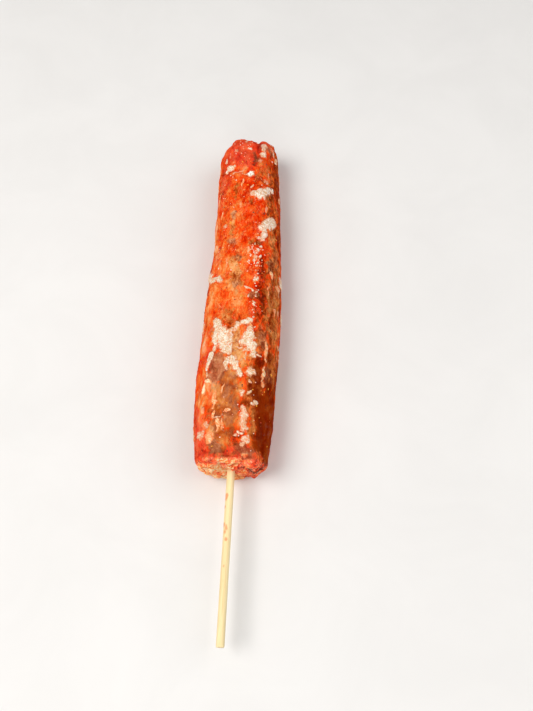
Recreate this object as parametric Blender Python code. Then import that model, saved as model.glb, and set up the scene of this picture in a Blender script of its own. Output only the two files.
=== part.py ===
"""A raw kofta skewer: spiced minced meat pressed round one end of a bamboo stick.

Run it with blender --background --python part.py, or from Blender's text editor.
Metres, +Z up. The skewer lies along Y on the plane Z = 0, with its bare stick towards -Y.
"""

import math

import bmesh
import bpy
from mathutils import Matrix, Vector, noise

# Driving dimensions, in metres
MEAT_LENGTH = 0.152
STICK_DIAMETER = 0.003
STICK_LENGTH = 0.200
STICK_SHOWING = 0.063
STICK_HEIGHT = 0.0116  # of the stick's axis over the surface that the kofta lies on
STICK_CHAMFER = 0.0003
FIT_GAP = 0.0003  # between the stick and the meat round it

# The meat's width, and its height as a share of the full height, by share of its length
# from the stick's end to the far end
WIDTH_ALONG = (
    (0.0, 0.0286),
    (0.12, 0.0309),
    (0.27, 0.0325),
    (0.47, 0.0316),
    (0.66, 0.0289),
    (0.82, 0.0276),
    (1.0, 0.0262),
)
FULL_WIDTH = 0.0325
HEIGHT_ALONG = ((0.0, 0.93), (0.2, 1.0), (0.5, 1.02), (0.75, 0.97), (1.0, 0.92))
BOW = 0.0013  # how far it bends to the right, most of it past the middle
BOW_LATENESS = 1.4

# The flats that its neighbours pressed into it: the direction that each one faces, in degrees
# from +X towards +Z, and its distance from the stick where the meat is at its widest
SIDE_FLATS = (
    (4, 0.0160),  # right side
    (42, 0.0146),  # right shoulder
    (96, 0.0126),  # top
    (143, 0.0151),  # left shoulder
    (180, 0.0163),  # left side
    (222, 0.0152),  # lower left
    (-38, 0.0149),  # lower right
)
UNDERSIDE_FACES = -90
UNDERSIDE = 0.0119  # its distance, a little past the surface, which trims it flat
CORNER_SHARPNESS = 11.0  # higher makes the edges between the flats crisper

# Lumps in the surface: the distance from one to the next, and their height
LUMPS = ((0.022, 0.00050), (0.011, 0.00035))

# The far end: rounded over and lower on its left
FAR_ROUNDING = 0.0088
FAR_ROUNDNESS = 2.5
FAR_SLANT = 0.0042
SLANT_REACH = 0.0194
LAST_RING = 0.22  # the last ring's share of the radius, before the end closes

# The crease round the far end, from which the tip steps in
CREASE_FROM_END = 0.0125
CREASE_WANDER = 0.0022
CREASE_LEAN = 40.0
CREASE_WIDTH = 0.0016
CREASE_DEPTH = 0.0005
CREASE_STEP = 0.0005

# The cleft that parts the far end beside its middle
CLEFT_ANGLE = 66.0
CLEFT_SPREAD = 9.0
CLEFT_DEPTH = 0.0019
CLEFT_LENGTH = 0.0075
CLEFT_SETBACK = 0.0011

# The stick's end: a ragged face of torn mince inside a wavy rim with a hanging lobe
NEAR_ROUNDING = 0.0026
NEAR_ROUNDNESS = 2.2
RIM_INSET = 0.0004
RIM_WAVE = 0.0010
RIM_WAVES = 2.2
RIM_REACH = 0.0078
RIM_LOBE = 0.0016
RIM_LOBE_ANGLE = -32.0
RIM_LOBE_SPREAD = 34.0
TORN_LUMPS = ((0.0060, 0.0013), (0.0031, 0.0008))
TORN_FADE = 0.6  # the torn lumps fade towards the stick inside this share of the face

# Where the lumps' noise is read for the rim and for the torn face, off the meat's own
RIM_NOISE_AT = 7.0
TORN_NOISE_AT = 0.31

# How finely the solids are cut into faces
SIDES = 44
BODY_STATIONS = 50
ROUNDING_STATIONS = 6
FACE_RINGS = (0.88, 0.74, 0.60, 0.46, 0.33, 0.21, 0.10, 0.0)
STICK_SIDES = 24

MEAT_COLOUR = (0.58, 0.105, 0.030, 1.0)
MEAT_ROUGHNESS = 0.35
BAMBOO_COLOUR = (0.83, 0.66, 0.38, 1.0)
BAMBOO_ROUGHNESS = 0.6
SOFT_EDGE_ANGLE = 180.0
CRISP_EDGE_ANGLE = 40.0


def clear_scene():
    """Empties the scene, so that the model is all that it holds."""
    for thing in list(bpy.data.objects):
        bpy.data.objects.remove(thing)


def material(name, colour, roughness):
    """A Principled BSDF of one colour and roughness."""
    made = bpy.data.materials.new(name)
    made.use_nodes = True
    shader = made.node_tree.nodes["Principled BSDF"]
    shader.inputs["Base Color"].default_value = colour
    shader.inputs["Roughness"].default_value = roughness
    shader.inputs["Metallic"].default_value = 0.0
    return made


def along(pairs, share):
    """The value at this share of the length, eased from one (share, value) pair to the next."""
    for (low, before), (high, after) in zip(pairs, pairs[1:]):
        if share <= high:
            step = max(0.0, (share - low) / (high - low))
            return before + (after - before) * step * step * (3.0 - 2.0 * step)
    return pairs[-1][1]


def bump(offset, spread):
    """A smooth hump of height 1 at offset 0, which has mostly gone at one spread away."""
    return math.exp(-((offset / spread) ** 2))


def turn_between(angle, other):
    """The difference of two angles in degrees, from -180 to 180."""
    return (angle - other + 180.0) % 360.0 - 180.0


def towards(angle):
    """The direction across the stick at an angle in degrees from +X towards +Z."""
    return Vector((math.cos(math.radians(angle)), 0.0, math.sin(math.radians(angle))))


def lumps(point, sizes):
    """The height of the lumps at a point, the sum of smooth noise of each size."""
    return sum(height * noise.noise(point / spacing) for spacing, height in sizes)


def bow(share):
    """How far the meat's middle line lies to the right of the stick at a share of its length."""
    return BOW * math.sin(math.pi * share**BOW_LATENESS) ** 2


def flats_at(share):
    """Each flat's direction and distance at a share of the length, with the taper applied."""
    widening = along(WIDTH_ALONG, share) / FULL_WIDTH
    raising = along(HEIGHT_ALONG, share)
    flats = [(UNDERSIDE_FACES, UNDERSIDE)]
    for facing, away in SIDE_FLATS:
        across = towards(facing)
        flats.append((facing, away * (widening * across.x**2 + raising * across.z**2)))
    return flats


def section_radius(angle, share):
    """How far the meat's side lies from its middle line in a direction, before its lumps.

    Each flat is a line. A high power of their nearness keeps the closest one and rounds the corners.
    """
    nearness = 0.0
    for facing, away in flats_at(share):
        lean = math.cos(math.radians(angle - facing))
        if lean > 0.0:
            nearness += (lean / away) ** CORNER_SHARPNESS
    return nearness ** (-1.0 / CORNER_SHARPNESS)


def far_details(angle, from_end):
    """The change of radius that the crease and the cleft make, this far from the far end."""
    upper = 0.5 + 0.5 * towards(angle).z
    wander = CREASE_WANDER * math.sin(math.radians(2.0 * angle + CREASE_LEAN))
    past_crease = CREASE_FROM_END + wander - from_end
    crease = CREASE_DEPTH * bump(past_crease, CREASE_WIDTH)
    step = CREASE_STEP / (1.0 + math.exp(-2.0 * past_crease / CREASE_WIDTH))
    cleft = bump(turn_between(angle, CLEFT_ANGLE), CLEFT_SPREAD) * bump(from_end, CLEFT_LENGTH)
    return -(crease + step) * upper - CLEFT_DEPTH * cleft


def rounding(from_end, length, roundness):
    """The share of the radius left this far from an end that rounds over within length."""
    if from_end >= length:
        return 1.0
    return (1.0 - (1.0 - from_end / length) ** roundness) ** (1.0 / roundness)


def skin_point(angle, distance, shrink):
    """A point of the meat's side, at a distance from the stick's end and a share of its radius."""
    share = distance / MEAT_LENGTH
    radius = section_radius(angle, share) + far_details(angle, MEAT_LENGTH - distance)
    centre = Vector((bow(share), distance, STICK_HEIGHT))
    radius += lumps(centre + towards(angle) * radius, LUMPS)
    return centre + towards(angle) * radius * shrink


def slanted(point):
    """The point, moved back if it is where the far end falls away to the left or in the cleft."""
    to_left = max(0.0, -point.x) / (0.5 * FULL_WIDTH)
    near_end = max(0.0, 1.0 - (MEAT_LENGTH - point.y) / SLANT_REACH)
    angle = math.degrees(math.atan2(point.z - STICK_HEIGHT, point.x))
    cleft = CLEFT_SETBACK * bump(turn_between(angle, CLEFT_ANGLE), 2.0 * CLEFT_SPREAD)
    point.y -= (FAR_SLANT * to_left**2 + cleft) * near_end
    return point


def rim_shift(angle):
    """How far the rim at the stick's end stands out at an angle: its waves and its hanging lobe."""
    wave = noise.noise(RIM_WAVES * towards(angle) + Vector((0.0, RIM_NOISE_AT, 0.0)))
    return RIM_WAVE * wave + RIM_LOBE * bump(turn_between(angle, RIM_LOBE_ANGLE), RIM_LOBE_SPREAD)


def resting(point):
    """The point, raised to the surface that the meat rests on if it lies lower."""
    point.z = max(point.z, 0.0)
    return point


def add_ring(mesh, points):
    """A ring of vertices at these points."""
    return [mesh.verts.new(point) for point in points]


def bridge(mesh, ring, following):
    """Faces between two rings with as many vertices."""
    for i in range(len(ring)):
        j = (i + 1) % len(ring)
        mesh.faces.new((ring[i], ring[j], following[j], following[i]))


def close_ring(mesh, ring):
    """A fan of faces over a ring, about a vertex at its middle."""
    centre = mesh.verts.new(sum((vertex.co for vertex in ring), Vector()) / len(ring))
    for i, vertex in enumerate(ring):
        mesh.faces.new((vertex, ring[(i + 1) % len(ring)], centre))


def finish_object(name, mesh, finish, parent, smooth_angle):
    """A named object from a bmesh, with its normals out, its material and its parent."""
    bmesh.ops.recalc_face_normals(mesh, faces=mesh.faces)
    data = bpy.data.meshes.new(name)
    mesh.to_mesh(data)
    mesh.free()
    data.materials.append(finish)
    data.shade_smooth()
    data.set_sharp_from_angle(angle=math.radians(smooth_angle))
    made = bpy.data.objects.new(name, data)
    bpy.context.scene.collection.objects.link(made)
    made.parent = parent
    return made


def torn_ring(angles, share):
    """The points of one ring of the torn face, from its rim at share 1 to the bore's mouth at 0."""
    bore = 0.5 * STICK_DIAMETER + FIT_GAP
    axis = Vector((0.0, 0.0, STICK_HEIGHT))
    points = []
    for angle in angles:
        rim = skin_point(angle, 0.0, rounding(RIM_INSET, NEAR_ROUNDING, NEAR_ROUNDNESS))
        radius = bore + ((rim - axis).length - bore) * share
        point = axis + towards(angle) * radius
        torn = lumps(point + Vector((0.0, TORN_NOISE_AT, 0.0)), TORN_LUMPS)
        point.y = torn * min(1.0, share / TORN_FADE) - rim_shift(angle) * share
        points.append(resting(point))
    return points


def body_ring(angles, distance):
    """The points of one ring of the meat's side, at a distance from the stick's end."""
    near = rounding(distance, NEAR_ROUNDING, NEAR_ROUNDNESS)
    far = rounding(MEAT_LENGTH - distance, FAR_ROUNDING, FAR_ROUNDNESS)
    points = []
    for angle in angles:
        point = slanted(skin_point(angle, distance, near * far))
        point.y -= rim_shift(angle) * max(0.0, 1.0 - distance / RIM_REACH)
        points.append(resting(point))
    return points


def stations():
    """The rings' distances from the stick's end, closer together where the ends round over."""
    quarter = [0.5 * math.pi * (i + 0.5) / ROUNDING_STATIONS for i in range(ROUNDING_STATIONS)]
    near = [NEAR_ROUNDING * (1.0 - math.cos(turn)) for turn in quarter]
    far = [MEAT_LENGTH - FAR_ROUNDING * (1.0 - math.cos(turn)) for turn in reversed(quarter)]
    step = (far[0] - near[-1]) / BODY_STATIONS
    return near + [near[-1] + step * i for i in range(1, BODY_STATIONS)] + far


def make_meat(parent, finish):
    """The pressed mince: its torn near face, its sides, its rounded far end and the stick's bore."""
    angles = [360.0 * i / SIDES for i in range(SIDES)]
    mesh = bmesh.new()
    rings = [add_ring(mesh, torn_ring(angles, share)) for share in reversed(FACE_RINGS)]
    rings += [add_ring(mesh, body_ring(angles, distance)) for distance in stations()]
    tip = [slanted(skin_point(angle, MEAT_LENGTH, LAST_RING)) for angle in angles]
    rings.append(add_ring(mesh, tip))
    for ring, following in zip(rings, rings[1:]):
        bridge(mesh, ring, following)
    close_ring(mesh, rings[-1])
    bore_end = STICK_LENGTH - STICK_SHOWING + FIT_GAP
    bottom = add_ring(mesh, [Vector((vertex.co.x, bore_end, vertex.co.z)) for vertex in rings[0]])
    bridge(mesh, rings[0], bottom)
    close_ring(mesh, bottom)
    return finish_object("meat", mesh, finish, parent, SOFT_EDGE_ANGLE)


def make_stick(parent, finish):
    """The bamboo stick: a round rod with the edges of its two cut ends just broken."""
    mesh = bmesh.new()
    bmesh.ops.create_cone(
        mesh,
        cap_ends=True,
        segments=STICK_SIDES,
        radius1=0.5 * STICK_DIAMETER,
        radius2=0.5 * STICK_DIAMETER,
        depth=STICK_LENGTH,
        matrix=Matrix.Rotation(math.radians(90.0), 4, "X"),
    )
    ends = [face for face in mesh.faces if len(face.verts) == STICK_SIDES]
    rims = {edge for face in ends for edge in face.edges}
    bmesh.ops.bevel(mesh, geom=list(rims), offset=STICK_CHAMFER, segments=1, affect="EDGES")
    made = finish_object("stick", mesh, finish, parent, CRISP_EDGE_ANGLE)
    made.location = (0.0, 0.5 * STICK_LENGTH - STICK_SHOWING, STICK_HEIGHT)
    return made


def centre_over_origin(parent, pieces):
    """Moves the parent so that the pieces' box stands over the origin."""
    corners = [piece.location + vertex.co for piece in pieces for vertex in piece.data.vertices]
    for axis in (0, 1):
        values = [corner[axis] for corner in corners]
        parent.location[axis] = -0.5 * (min(values) + max(values))


def build_skewer():
    """The whole skewer, under one empty."""
    clear_scene()
    skewer = bpy.data.objects.new("skewer", None)
    bpy.context.scene.collection.objects.link(skewer)
    meat = make_meat(skewer, material("pressed mince", MEAT_COLOUR, MEAT_ROUGHNESS))
    stick = make_stick(skewer, material("bamboo", BAMBOO_COLOUR, BAMBOO_ROUGHNESS))
    centre_over_origin(skewer, (meat, stick))


build_skewer()
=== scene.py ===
"""The looks of a raw, frosted kofta skewer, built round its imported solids.

The skewer lies along Y with its bare stick towards -Y, and its meat rests on the plane Z = 0.
Each class is one sub-assembly or one finish. Sizes are in metres unless a docstring says mm, and
a place on the meat is its distance from the stick's end in mm and its angle round the stick in
degrees: 0 is the right side, 90 the top and 180 the left side.
"""

import logging
import math
from collections.abc import Iterable, Sequence
from dataclasses import dataclass, field
from enum import Enum

import bmesh
import bpy
import numpy as np
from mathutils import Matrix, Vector, noise
from mathutils.bvhtree import BVHTree
from mathutils.kdtree import KDTree


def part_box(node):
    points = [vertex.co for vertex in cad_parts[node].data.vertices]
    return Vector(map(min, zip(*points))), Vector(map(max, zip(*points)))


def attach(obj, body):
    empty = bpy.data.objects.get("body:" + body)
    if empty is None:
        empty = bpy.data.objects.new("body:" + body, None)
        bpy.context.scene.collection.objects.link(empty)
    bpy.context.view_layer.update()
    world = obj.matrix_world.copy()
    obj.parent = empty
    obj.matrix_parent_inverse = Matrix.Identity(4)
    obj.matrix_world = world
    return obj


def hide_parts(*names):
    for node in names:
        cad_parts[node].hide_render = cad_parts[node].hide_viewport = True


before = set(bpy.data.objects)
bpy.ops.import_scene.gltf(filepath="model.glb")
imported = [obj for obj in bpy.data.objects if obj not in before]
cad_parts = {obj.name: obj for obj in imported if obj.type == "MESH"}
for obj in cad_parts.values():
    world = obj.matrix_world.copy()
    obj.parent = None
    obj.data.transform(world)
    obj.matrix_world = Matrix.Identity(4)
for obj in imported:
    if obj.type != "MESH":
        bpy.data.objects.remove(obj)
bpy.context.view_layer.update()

log = logging.getLogger("kofta")

MM = 0.001
ARC_MM = 0.26  # mm of girth for each degree round the stick
BODY = "root"
NOISE_STEP = np.array((1.0, 1.7, 2.3))  # how a noise moves for each unit of its shift

Array = np.ndarray
Piece = bpy.types.Object
Group = bpy.types.NodeTree
Chance = np.random.Generator
Socket = bpy.types.NodeSocket
Inputs = dict[str | int, object]
Span = tuple[float, float]
Triple = tuple[float, float, float]
Row = tuple[float, ...]
Colour = tuple[float, float, float, float]
Stops = tuple[tuple[float, float, float, float], ...]


# ---- small tools


def in_lumps(points: Array, size: float | Sequence[float], shift: float) -> Array:
    """Points counted in lumps of a noise, and moved so that each use has its own."""
    return points / np.asarray(size, float) + shift * NOISE_STEP


def noise_at(points: Array, size: float | Sequence[float], shift: float) -> Array:
    """Smooth noise at each point, from about -1 to 1, in lumps of one size or of sizes along X, Y and Z."""
    rows = in_lumps(points, size, shift).tolist()
    return np.fromiter((noise.noise(row) for row in rows), float, len(points))


def ridges_at(points: Array, size: float | Sequence[float], shift: float) -> Array:
    """Noise folded at its zero line: 1 on a thin raised thread, falling to 0 beside it."""
    steepness = 4.0
    return 1.0 - np.clip(np.abs(noise_at(points, size, shift)) * steepness, 0.0, 1.0)


def pits_at(points: Array, size: float | Sequence[float], shift: float) -> Array:
    """How near each point is to the middle of a cell: 1 there, and 0 half a cell away."""
    far = [noise.voronoi(row)[0][0] for row in in_lumps(points, size, shift).tolist()]
    return np.clip(1.0 - 2.0 * np.array(far), 0.0, 1.0)


def smooth_step(values: Array, low: float, high: float) -> Array:
    """Values eased from 0 at low to 1 at high."""
    share = np.clip((values - low) / (high - low), 0.0, 1.0)
    return share * share * (3.0 - 2.0 * share)


def turn_between(angles: Array, other: float) -> Array:
    """The difference of angles from another, in degrees from -180 to 180."""
    return (angles - other + 180.0) % 360.0 - 180.0


def read_rows(parts: Sequence, name: str) -> Array:
    """A property of three numbers, read from each part of a mesh.

    Args:
        parts: the mesh's vertices or vertex normals.
        name: the property's name.

    Returns:
        One row for each part.
    """
    flat = np.empty(len(parts) * 3)
    parts.foreach_get(name, flat)
    return flat.reshape(-1, 3)


def mesh_points(mesh: bpy.types.Mesh) -> Array:
    """A mesh's vertices, one row each."""
    return read_rows(mesh.vertices, "co")


def mesh_normals(mesh: bpy.types.Mesh) -> Array:
    """A mesh's vertex normals, one row each."""
    return read_rows(mesh.vertex_normals, "vector")


def move_points(mesh: bpy.types.Mesh, points: Array) -> None:
    """Puts a mesh's vertices at these points."""
    mesh.vertices.foreach_set("co", points.ravel())
    mesh.update()


def paint(mesh: bpy.types.Mesh, name: str, values: Array) -> None:
    """Keeps one value for each vertex under a name, for a material to read."""
    layer = mesh.attributes.get(name) or mesh.attributes.new(name, "FLOAT", "POINT")
    layer.data.foreach_set("value", values.astype(np.float32))


def relax(points: Array, edges: Array, rounds: int, share: Array) -> Array:
    """Moves vertices towards the mean of their neighbours.

    Args:
        points: the vertices.
        edges: each edge's two vertices.
        rounds: how often they move.
        share: how far, from 0 to 1.

    Returns:
        The vertices' new places.
    """
    count = len(points)
    ends = np.concatenate((edges[:, 0], edges[:, 1]))
    others = np.concatenate((edges[:, 1], edges[:, 0]))
    number = np.maximum(np.bincount(ends, minlength=count), 1)
    moved = points.copy()
    for _ in range(rounds):
        sums = [np.bincount(ends, moved[others, axis], count) / number for axis in range(3)]
        moved += (np.stack(sums, axis=1) - moved) * share[:, None]
    return moved


def link(name: str, data: bpy.types.ID) -> Piece:
    """A new object of a mesh, lamp or camera, linked to the scene.

    Args:
        name: the object's name.
        data: what it shows.

    Returns:
        The object.
    """
    made = bpy.data.objects.new(name, data)
    bpy.context.scene.collection.objects.link(made)
    return made


def make_piece(name: str, points: Array, faces: Iterable[Sequence[int]]) -> Piece:
    """A smooth mesh object, linked to the scene.

    Args:
        name: the piece's name.
        points: its vertices, one row each.
        faces: each face's vertices.

    Returns:
        The object.
    """
    mesh = bpy.data.meshes.new(name)
    mesh.from_pydata(np.asarray(points).tolist(), [], [tuple(int(i) for i in face) for face in faces])
    mesh.validate()
    mesh.shade_smooth()
    return link(name, mesh)


def ball(subdivisions: int) -> tuple[Array, Array]:
    """A unit ball of triangles.

    Args:
        subdivisions: how finely it is cut.

    Returns:
        Its vertices and its faces, one row each.
    """
    shape = bmesh.new()
    bmesh.ops.create_icosphere(shape, subdivisions=subdivisions, radius=1.0)
    points = np.array([vertex.co[:] for vertex in shape.verts])
    faces = np.array([[vertex.index for vertex in face.verts] for face in shape.faces])
    shape.free()
    return points, faces


@dataclass
class MeshStack:
    """Collects loose shells that become one piece."""

    points: list[Array] = field(default_factory=list)
    faces: list[Array] = field(default_factory=list)
    marks: dict[str, list[Array]] = field(default_factory=dict)
    count: int = 0

    def add(self, points: Array, faces: Array, **marks: Array) -> None:
        """Adds a shell.

        Args:
            points: its vertices, one row each.
            faces: its faces' vertices, one row each.
            **marks: its named values, one for each vertex.
        """
        self.points.append(points)
        self.faces.append(np.asarray(faces) + self.count)
        for name, values in marks.items():
            self.marks.setdefault(name, []).append(values)
        self.count += len(points)

    def piece(self, name: str) -> Piece:
        """The shells as one object, with their named values painted on.

        Args:
            name: the piece's name.

        Returns:
            The object.
        """
        faces = [row for part in self.faces for row in part.tolist()]
        made = make_piece(name, np.concatenate(self.points), faces)
        for mark, values in self.marks.items():
            paint(made.data, mark, np.concatenate(values))
        return made


# ---- where things are


@dataclass(frozen=True)
class Layout:
    """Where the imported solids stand: the stick's axis, ends and radius, and the meat's end on it."""

    axis_x: float
    axis_z: float
    stick_start: float
    stick_end: float
    radius: float
    near_end: float

    @classmethod
    def from_frame(cls, showing: float = 0.063) -> "Layout":
        """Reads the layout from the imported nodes.

        Args:
            showing: how much of the stick is bare.

        Returns:
            The layout.
        """
        low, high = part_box("stick")
        return cls(
            axis_x=0.5 * (low.x + high.x),
            axis_z=0.5 * (low.z + high.z),
            stick_start=low.y,
            stick_end=high.y,
            radius=0.5 * (high.x - low.x),
            near_end=low.y + showing,
        )

    def places(self, points: Array) -> tuple[Array, Array]:
        """Where points lie on the meat: their distance along it in mm, and their angle in degrees."""
        across, up = points[:, 0] - self.axis_x, points[:, 2] - self.axis_z
        return (points[:, 1] - self.near_end) / MM, np.degrees(np.arctan2(up, across))

    def from_axis(self, point: Vector) -> tuple[float, float]:
        """How far a point is to the right of the stick's axis and above it."""
        return point.x - self.axis_x, point.z - self.axis_z


class MeatSurface:
    """The meat's skin, read by distance along it and angle round the stick."""

    REACH = 0.05

    def __init__(self, piece: Piece, layout: Layout) -> None:
        """Indexes the meat's faces.

        Args:
            piece: the meat.
            layout: where the solids stand.
        """
        faces = [tuple(face.vertices) for face in piece.data.polygons]
        self.tree = BVHTree.FromPolygons(mesh_points(piece.data).tolist(), faces)
        self.layout = layout

    def read(self, along: float, angle: float) -> tuple[Vector, Vector] | None:
        """The skin at a place.

        Args:
            along: mm along the meat.
            angle: degrees round the stick.

        Returns:
            Its point and normal, or None past the meat's ends.
        """
        turn = math.radians(angle)
        out = Vector((math.cos(turn), 0.0, math.sin(turn)))
        axis = Vector((self.layout.axis_x, self.layout.near_end + along * MM, self.layout.axis_z))
        point, normal, _, _ = self.tree.ray_cast(axis + out * self.REACH, -out)
        if point is None:
            return None
        return point, normal if normal.dot(out) > 0.0 else -normal


# ---- node tools


class NodeSheet:
    """One node tree, with short ways to add nodes and to join them."""

    def __init__(self, tree: Group) -> None:
        """Keeps the tree."""
        self.tree = tree

    def feed(self, socket: Socket, value: object) -> None:
        """Sets a socket to a number or colour, or joins another socket to it.

        Args:
            socket: the socket that takes the value.
            value: a number, a colour or another node's output.
        """
        if isinstance(value, Socket):
            self.tree.links.new(value, socket)
        else:
            socket.default_value = value

    def dress(self, node: bpy.types.Node, inputs: Inputs) -> None:
        """Feeds a node's own sockets, by name or number."""
        for name, value in inputs.items():
            self.feed(node.inputs[name], value)

    def add(self, kind: str, inputs: Inputs | None = None, **settings: object) -> bpy.types.Node:
        """A new node.

        Args:
            kind: its type, without ShaderNode.
            inputs: what goes into its sockets.
            **settings: the node's own properties.

        Returns:
            The node.
        """
        node = self.tree.nodes.new(kind if kind.startswith("NodeGroup") else "ShaderNode" + kind)
        for name, value in settings.items():
            setattr(node, name, value)
        self.dress(node, inputs or {})
        return node

    def maths(self, operation: str, first: object, second: object = 0.0, clamp: bool = False) -> Socket:
        """The result of a Math node."""
        return self.add("Math", {0: first, 1: second}, operation=operation, use_clamp=clamp).outputs[0]

    def plus(self, first: object, second: object) -> Socket:
        """The sum of two values."""
        return self.maths("ADD", first, second)

    def less(self, first: object, second: object) -> Socket:
        """The first value without the second."""
        return self.maths("SUBTRACT", first, second)

    def times(self, first: object, second: object) -> Socket:
        """The product of two values."""
        return self.maths("MULTIPLY", first, second)

    def swing(self, value: object, gain: float) -> Socket:
        """How far a value is from one half, times a gain."""
        return self.times(self.less(value, 0.5), gain)

    def vector(self, operation: str, first: object, second: object) -> Socket:
        """The result of a Vector Math node."""
        return self.add("VectorMath", {0: first, 1: second}, operation=operation).outputs[0]

    def span(self, value: object, low: object, high: object, start: float = 0.0, end: float = 1.0) -> Socket:
        """A value eased from start to end as it goes from low to high."""
        inputs = {"Value": value, "From Min": low, "From Max": high, "To Min": start, "To Max": end}
        return self.add("MapRange", inputs, interpolation_type="SMOOTHSTEP").outputs["Result"]

    def blend(self, mask: object, under: object, over: object) -> Socket:
        """One colour laid over another by a mask."""
        return self.add("Mix", {0: mask, 6: under, 7: over}, data_type="RGBA").outputs[2]

    def lay(self, under: object, over: object, mask: object, cover: object) -> Socket:
        """One colour laid over another by a mask, which is scaled by how strongly it covers."""
        return self.blend(self.times(mask, cover), under, over)

    def ramp(self, value: object, stops: Stops) -> Socket:
        """A colour read off a run of colours.

        Args:
            value: where to read it, from 0 to 1.
            stops: each stop's place, red, green and blue.

        Returns:
            The colour.
        """
        node = self.add("ValToRGB", {"Fac": value})
        marks = node.color_ramp.elements
        while len(marks) < len(stops):
            marks.new(1.0)
        for mark, (place, *colour) in zip(marks, stops):
            mark.position, mark.color = place, (*colour, 1.0)
        return node.outputs["Color"]

    def bump(self, height: object, depth: float) -> Socket:
        """A normal that follows a height."""
        return self.add("Bump", {"Height": height, "Strength": 1.0, "Distance": depth}).outputs["Normal"]

    def cloud(self, place: Socket, detail: float, roughness: float = 0.5, **more: object) -> Socket:
        """A cloudy noise at a place."""
        inputs = {"Vector": place, "Scale": 1.0, "Detail": detail, "Roughness": roughness}
        return self.add("TexNoise", inputs | more).outputs["Fac"]

    def mark(self, name: str) -> Socket:
        """A value that the mesh carries under a name."""
        return self.add("Attribute", attribute_name=name).outputs["Fac"]

    def effect(self, group: Group, output: str = "Mask", **values: object) -> Socket:
        """One output of a shared effect.

        Args:
            group: the effect's node group.
            output: which of its outputs.
            **values: its inputs, by their names in small letters.

        Returns:
            The output's socket.
        """
        node = self.add("Group", node_tree=group)
        self.dress(node, {name.capitalize(): value for name, value in values.items()})
        return node.outputs[output]


def new_effect(
    name: str, inputs: dict[str, float], outputs: Sequence[str]
) -> tuple[NodeSheet, dict[str, Socket], dict[str, Socket]]:
    """An empty shader node group with named number sockets.

    Args:
        name: the group's name.
        inputs: its inputs and their values.
        outputs: its outputs.

    Returns:
        Its sheet, and its inner input and output sockets by name.
    """
    tree = bpy.data.node_groups.new(name, "ShaderNodeTree")
    for socket, value in inputs.items():
        tree.interface.new_socket(socket, in_out="INPUT", socket_type="NodeSocketFloat").default_value = value
    for socket in outputs:
        tree.interface.new_socket(socket, in_out="OUTPUT", socket_type="NodeSocketFloat")
    sheet = NodeSheet(tree)
    start, end = sheet.add("NodeGroupInput"), sheet.add("NodeGroupOutput")
    return sheet, {s: start.outputs[s] for s in inputs}, {s: end.inputs[s] for s in outputs}


def stretched_place(sheet: NodeSheet, ins: dict[str, Socket]) -> Socket:
    """The place on the piece, counted in lumps of an effect.

    Args:
        sheet: the effect's sheet.
        ins: its inputs: Size, Stretch along Y and Shift.

    Returns:
        The place's socket.
    """
    long_size = sheet.times(ins["Size"], ins["Stretch"])
    sizes = sheet.add("CombineXYZ", {0: ins["Size"], 1: long_size, 2: ins["Size"]}).outputs[0]
    scaled = sheet.vector("DIVIDE", sheet.add("TexCoord").outputs["Object"], sizes)
    moves = sheet.add("CombineXYZ", {axis: ins["Shift"] for axis in range(3)}).outputs[0]
    return sheet.vector("ADD", scaled, moves)


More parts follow.
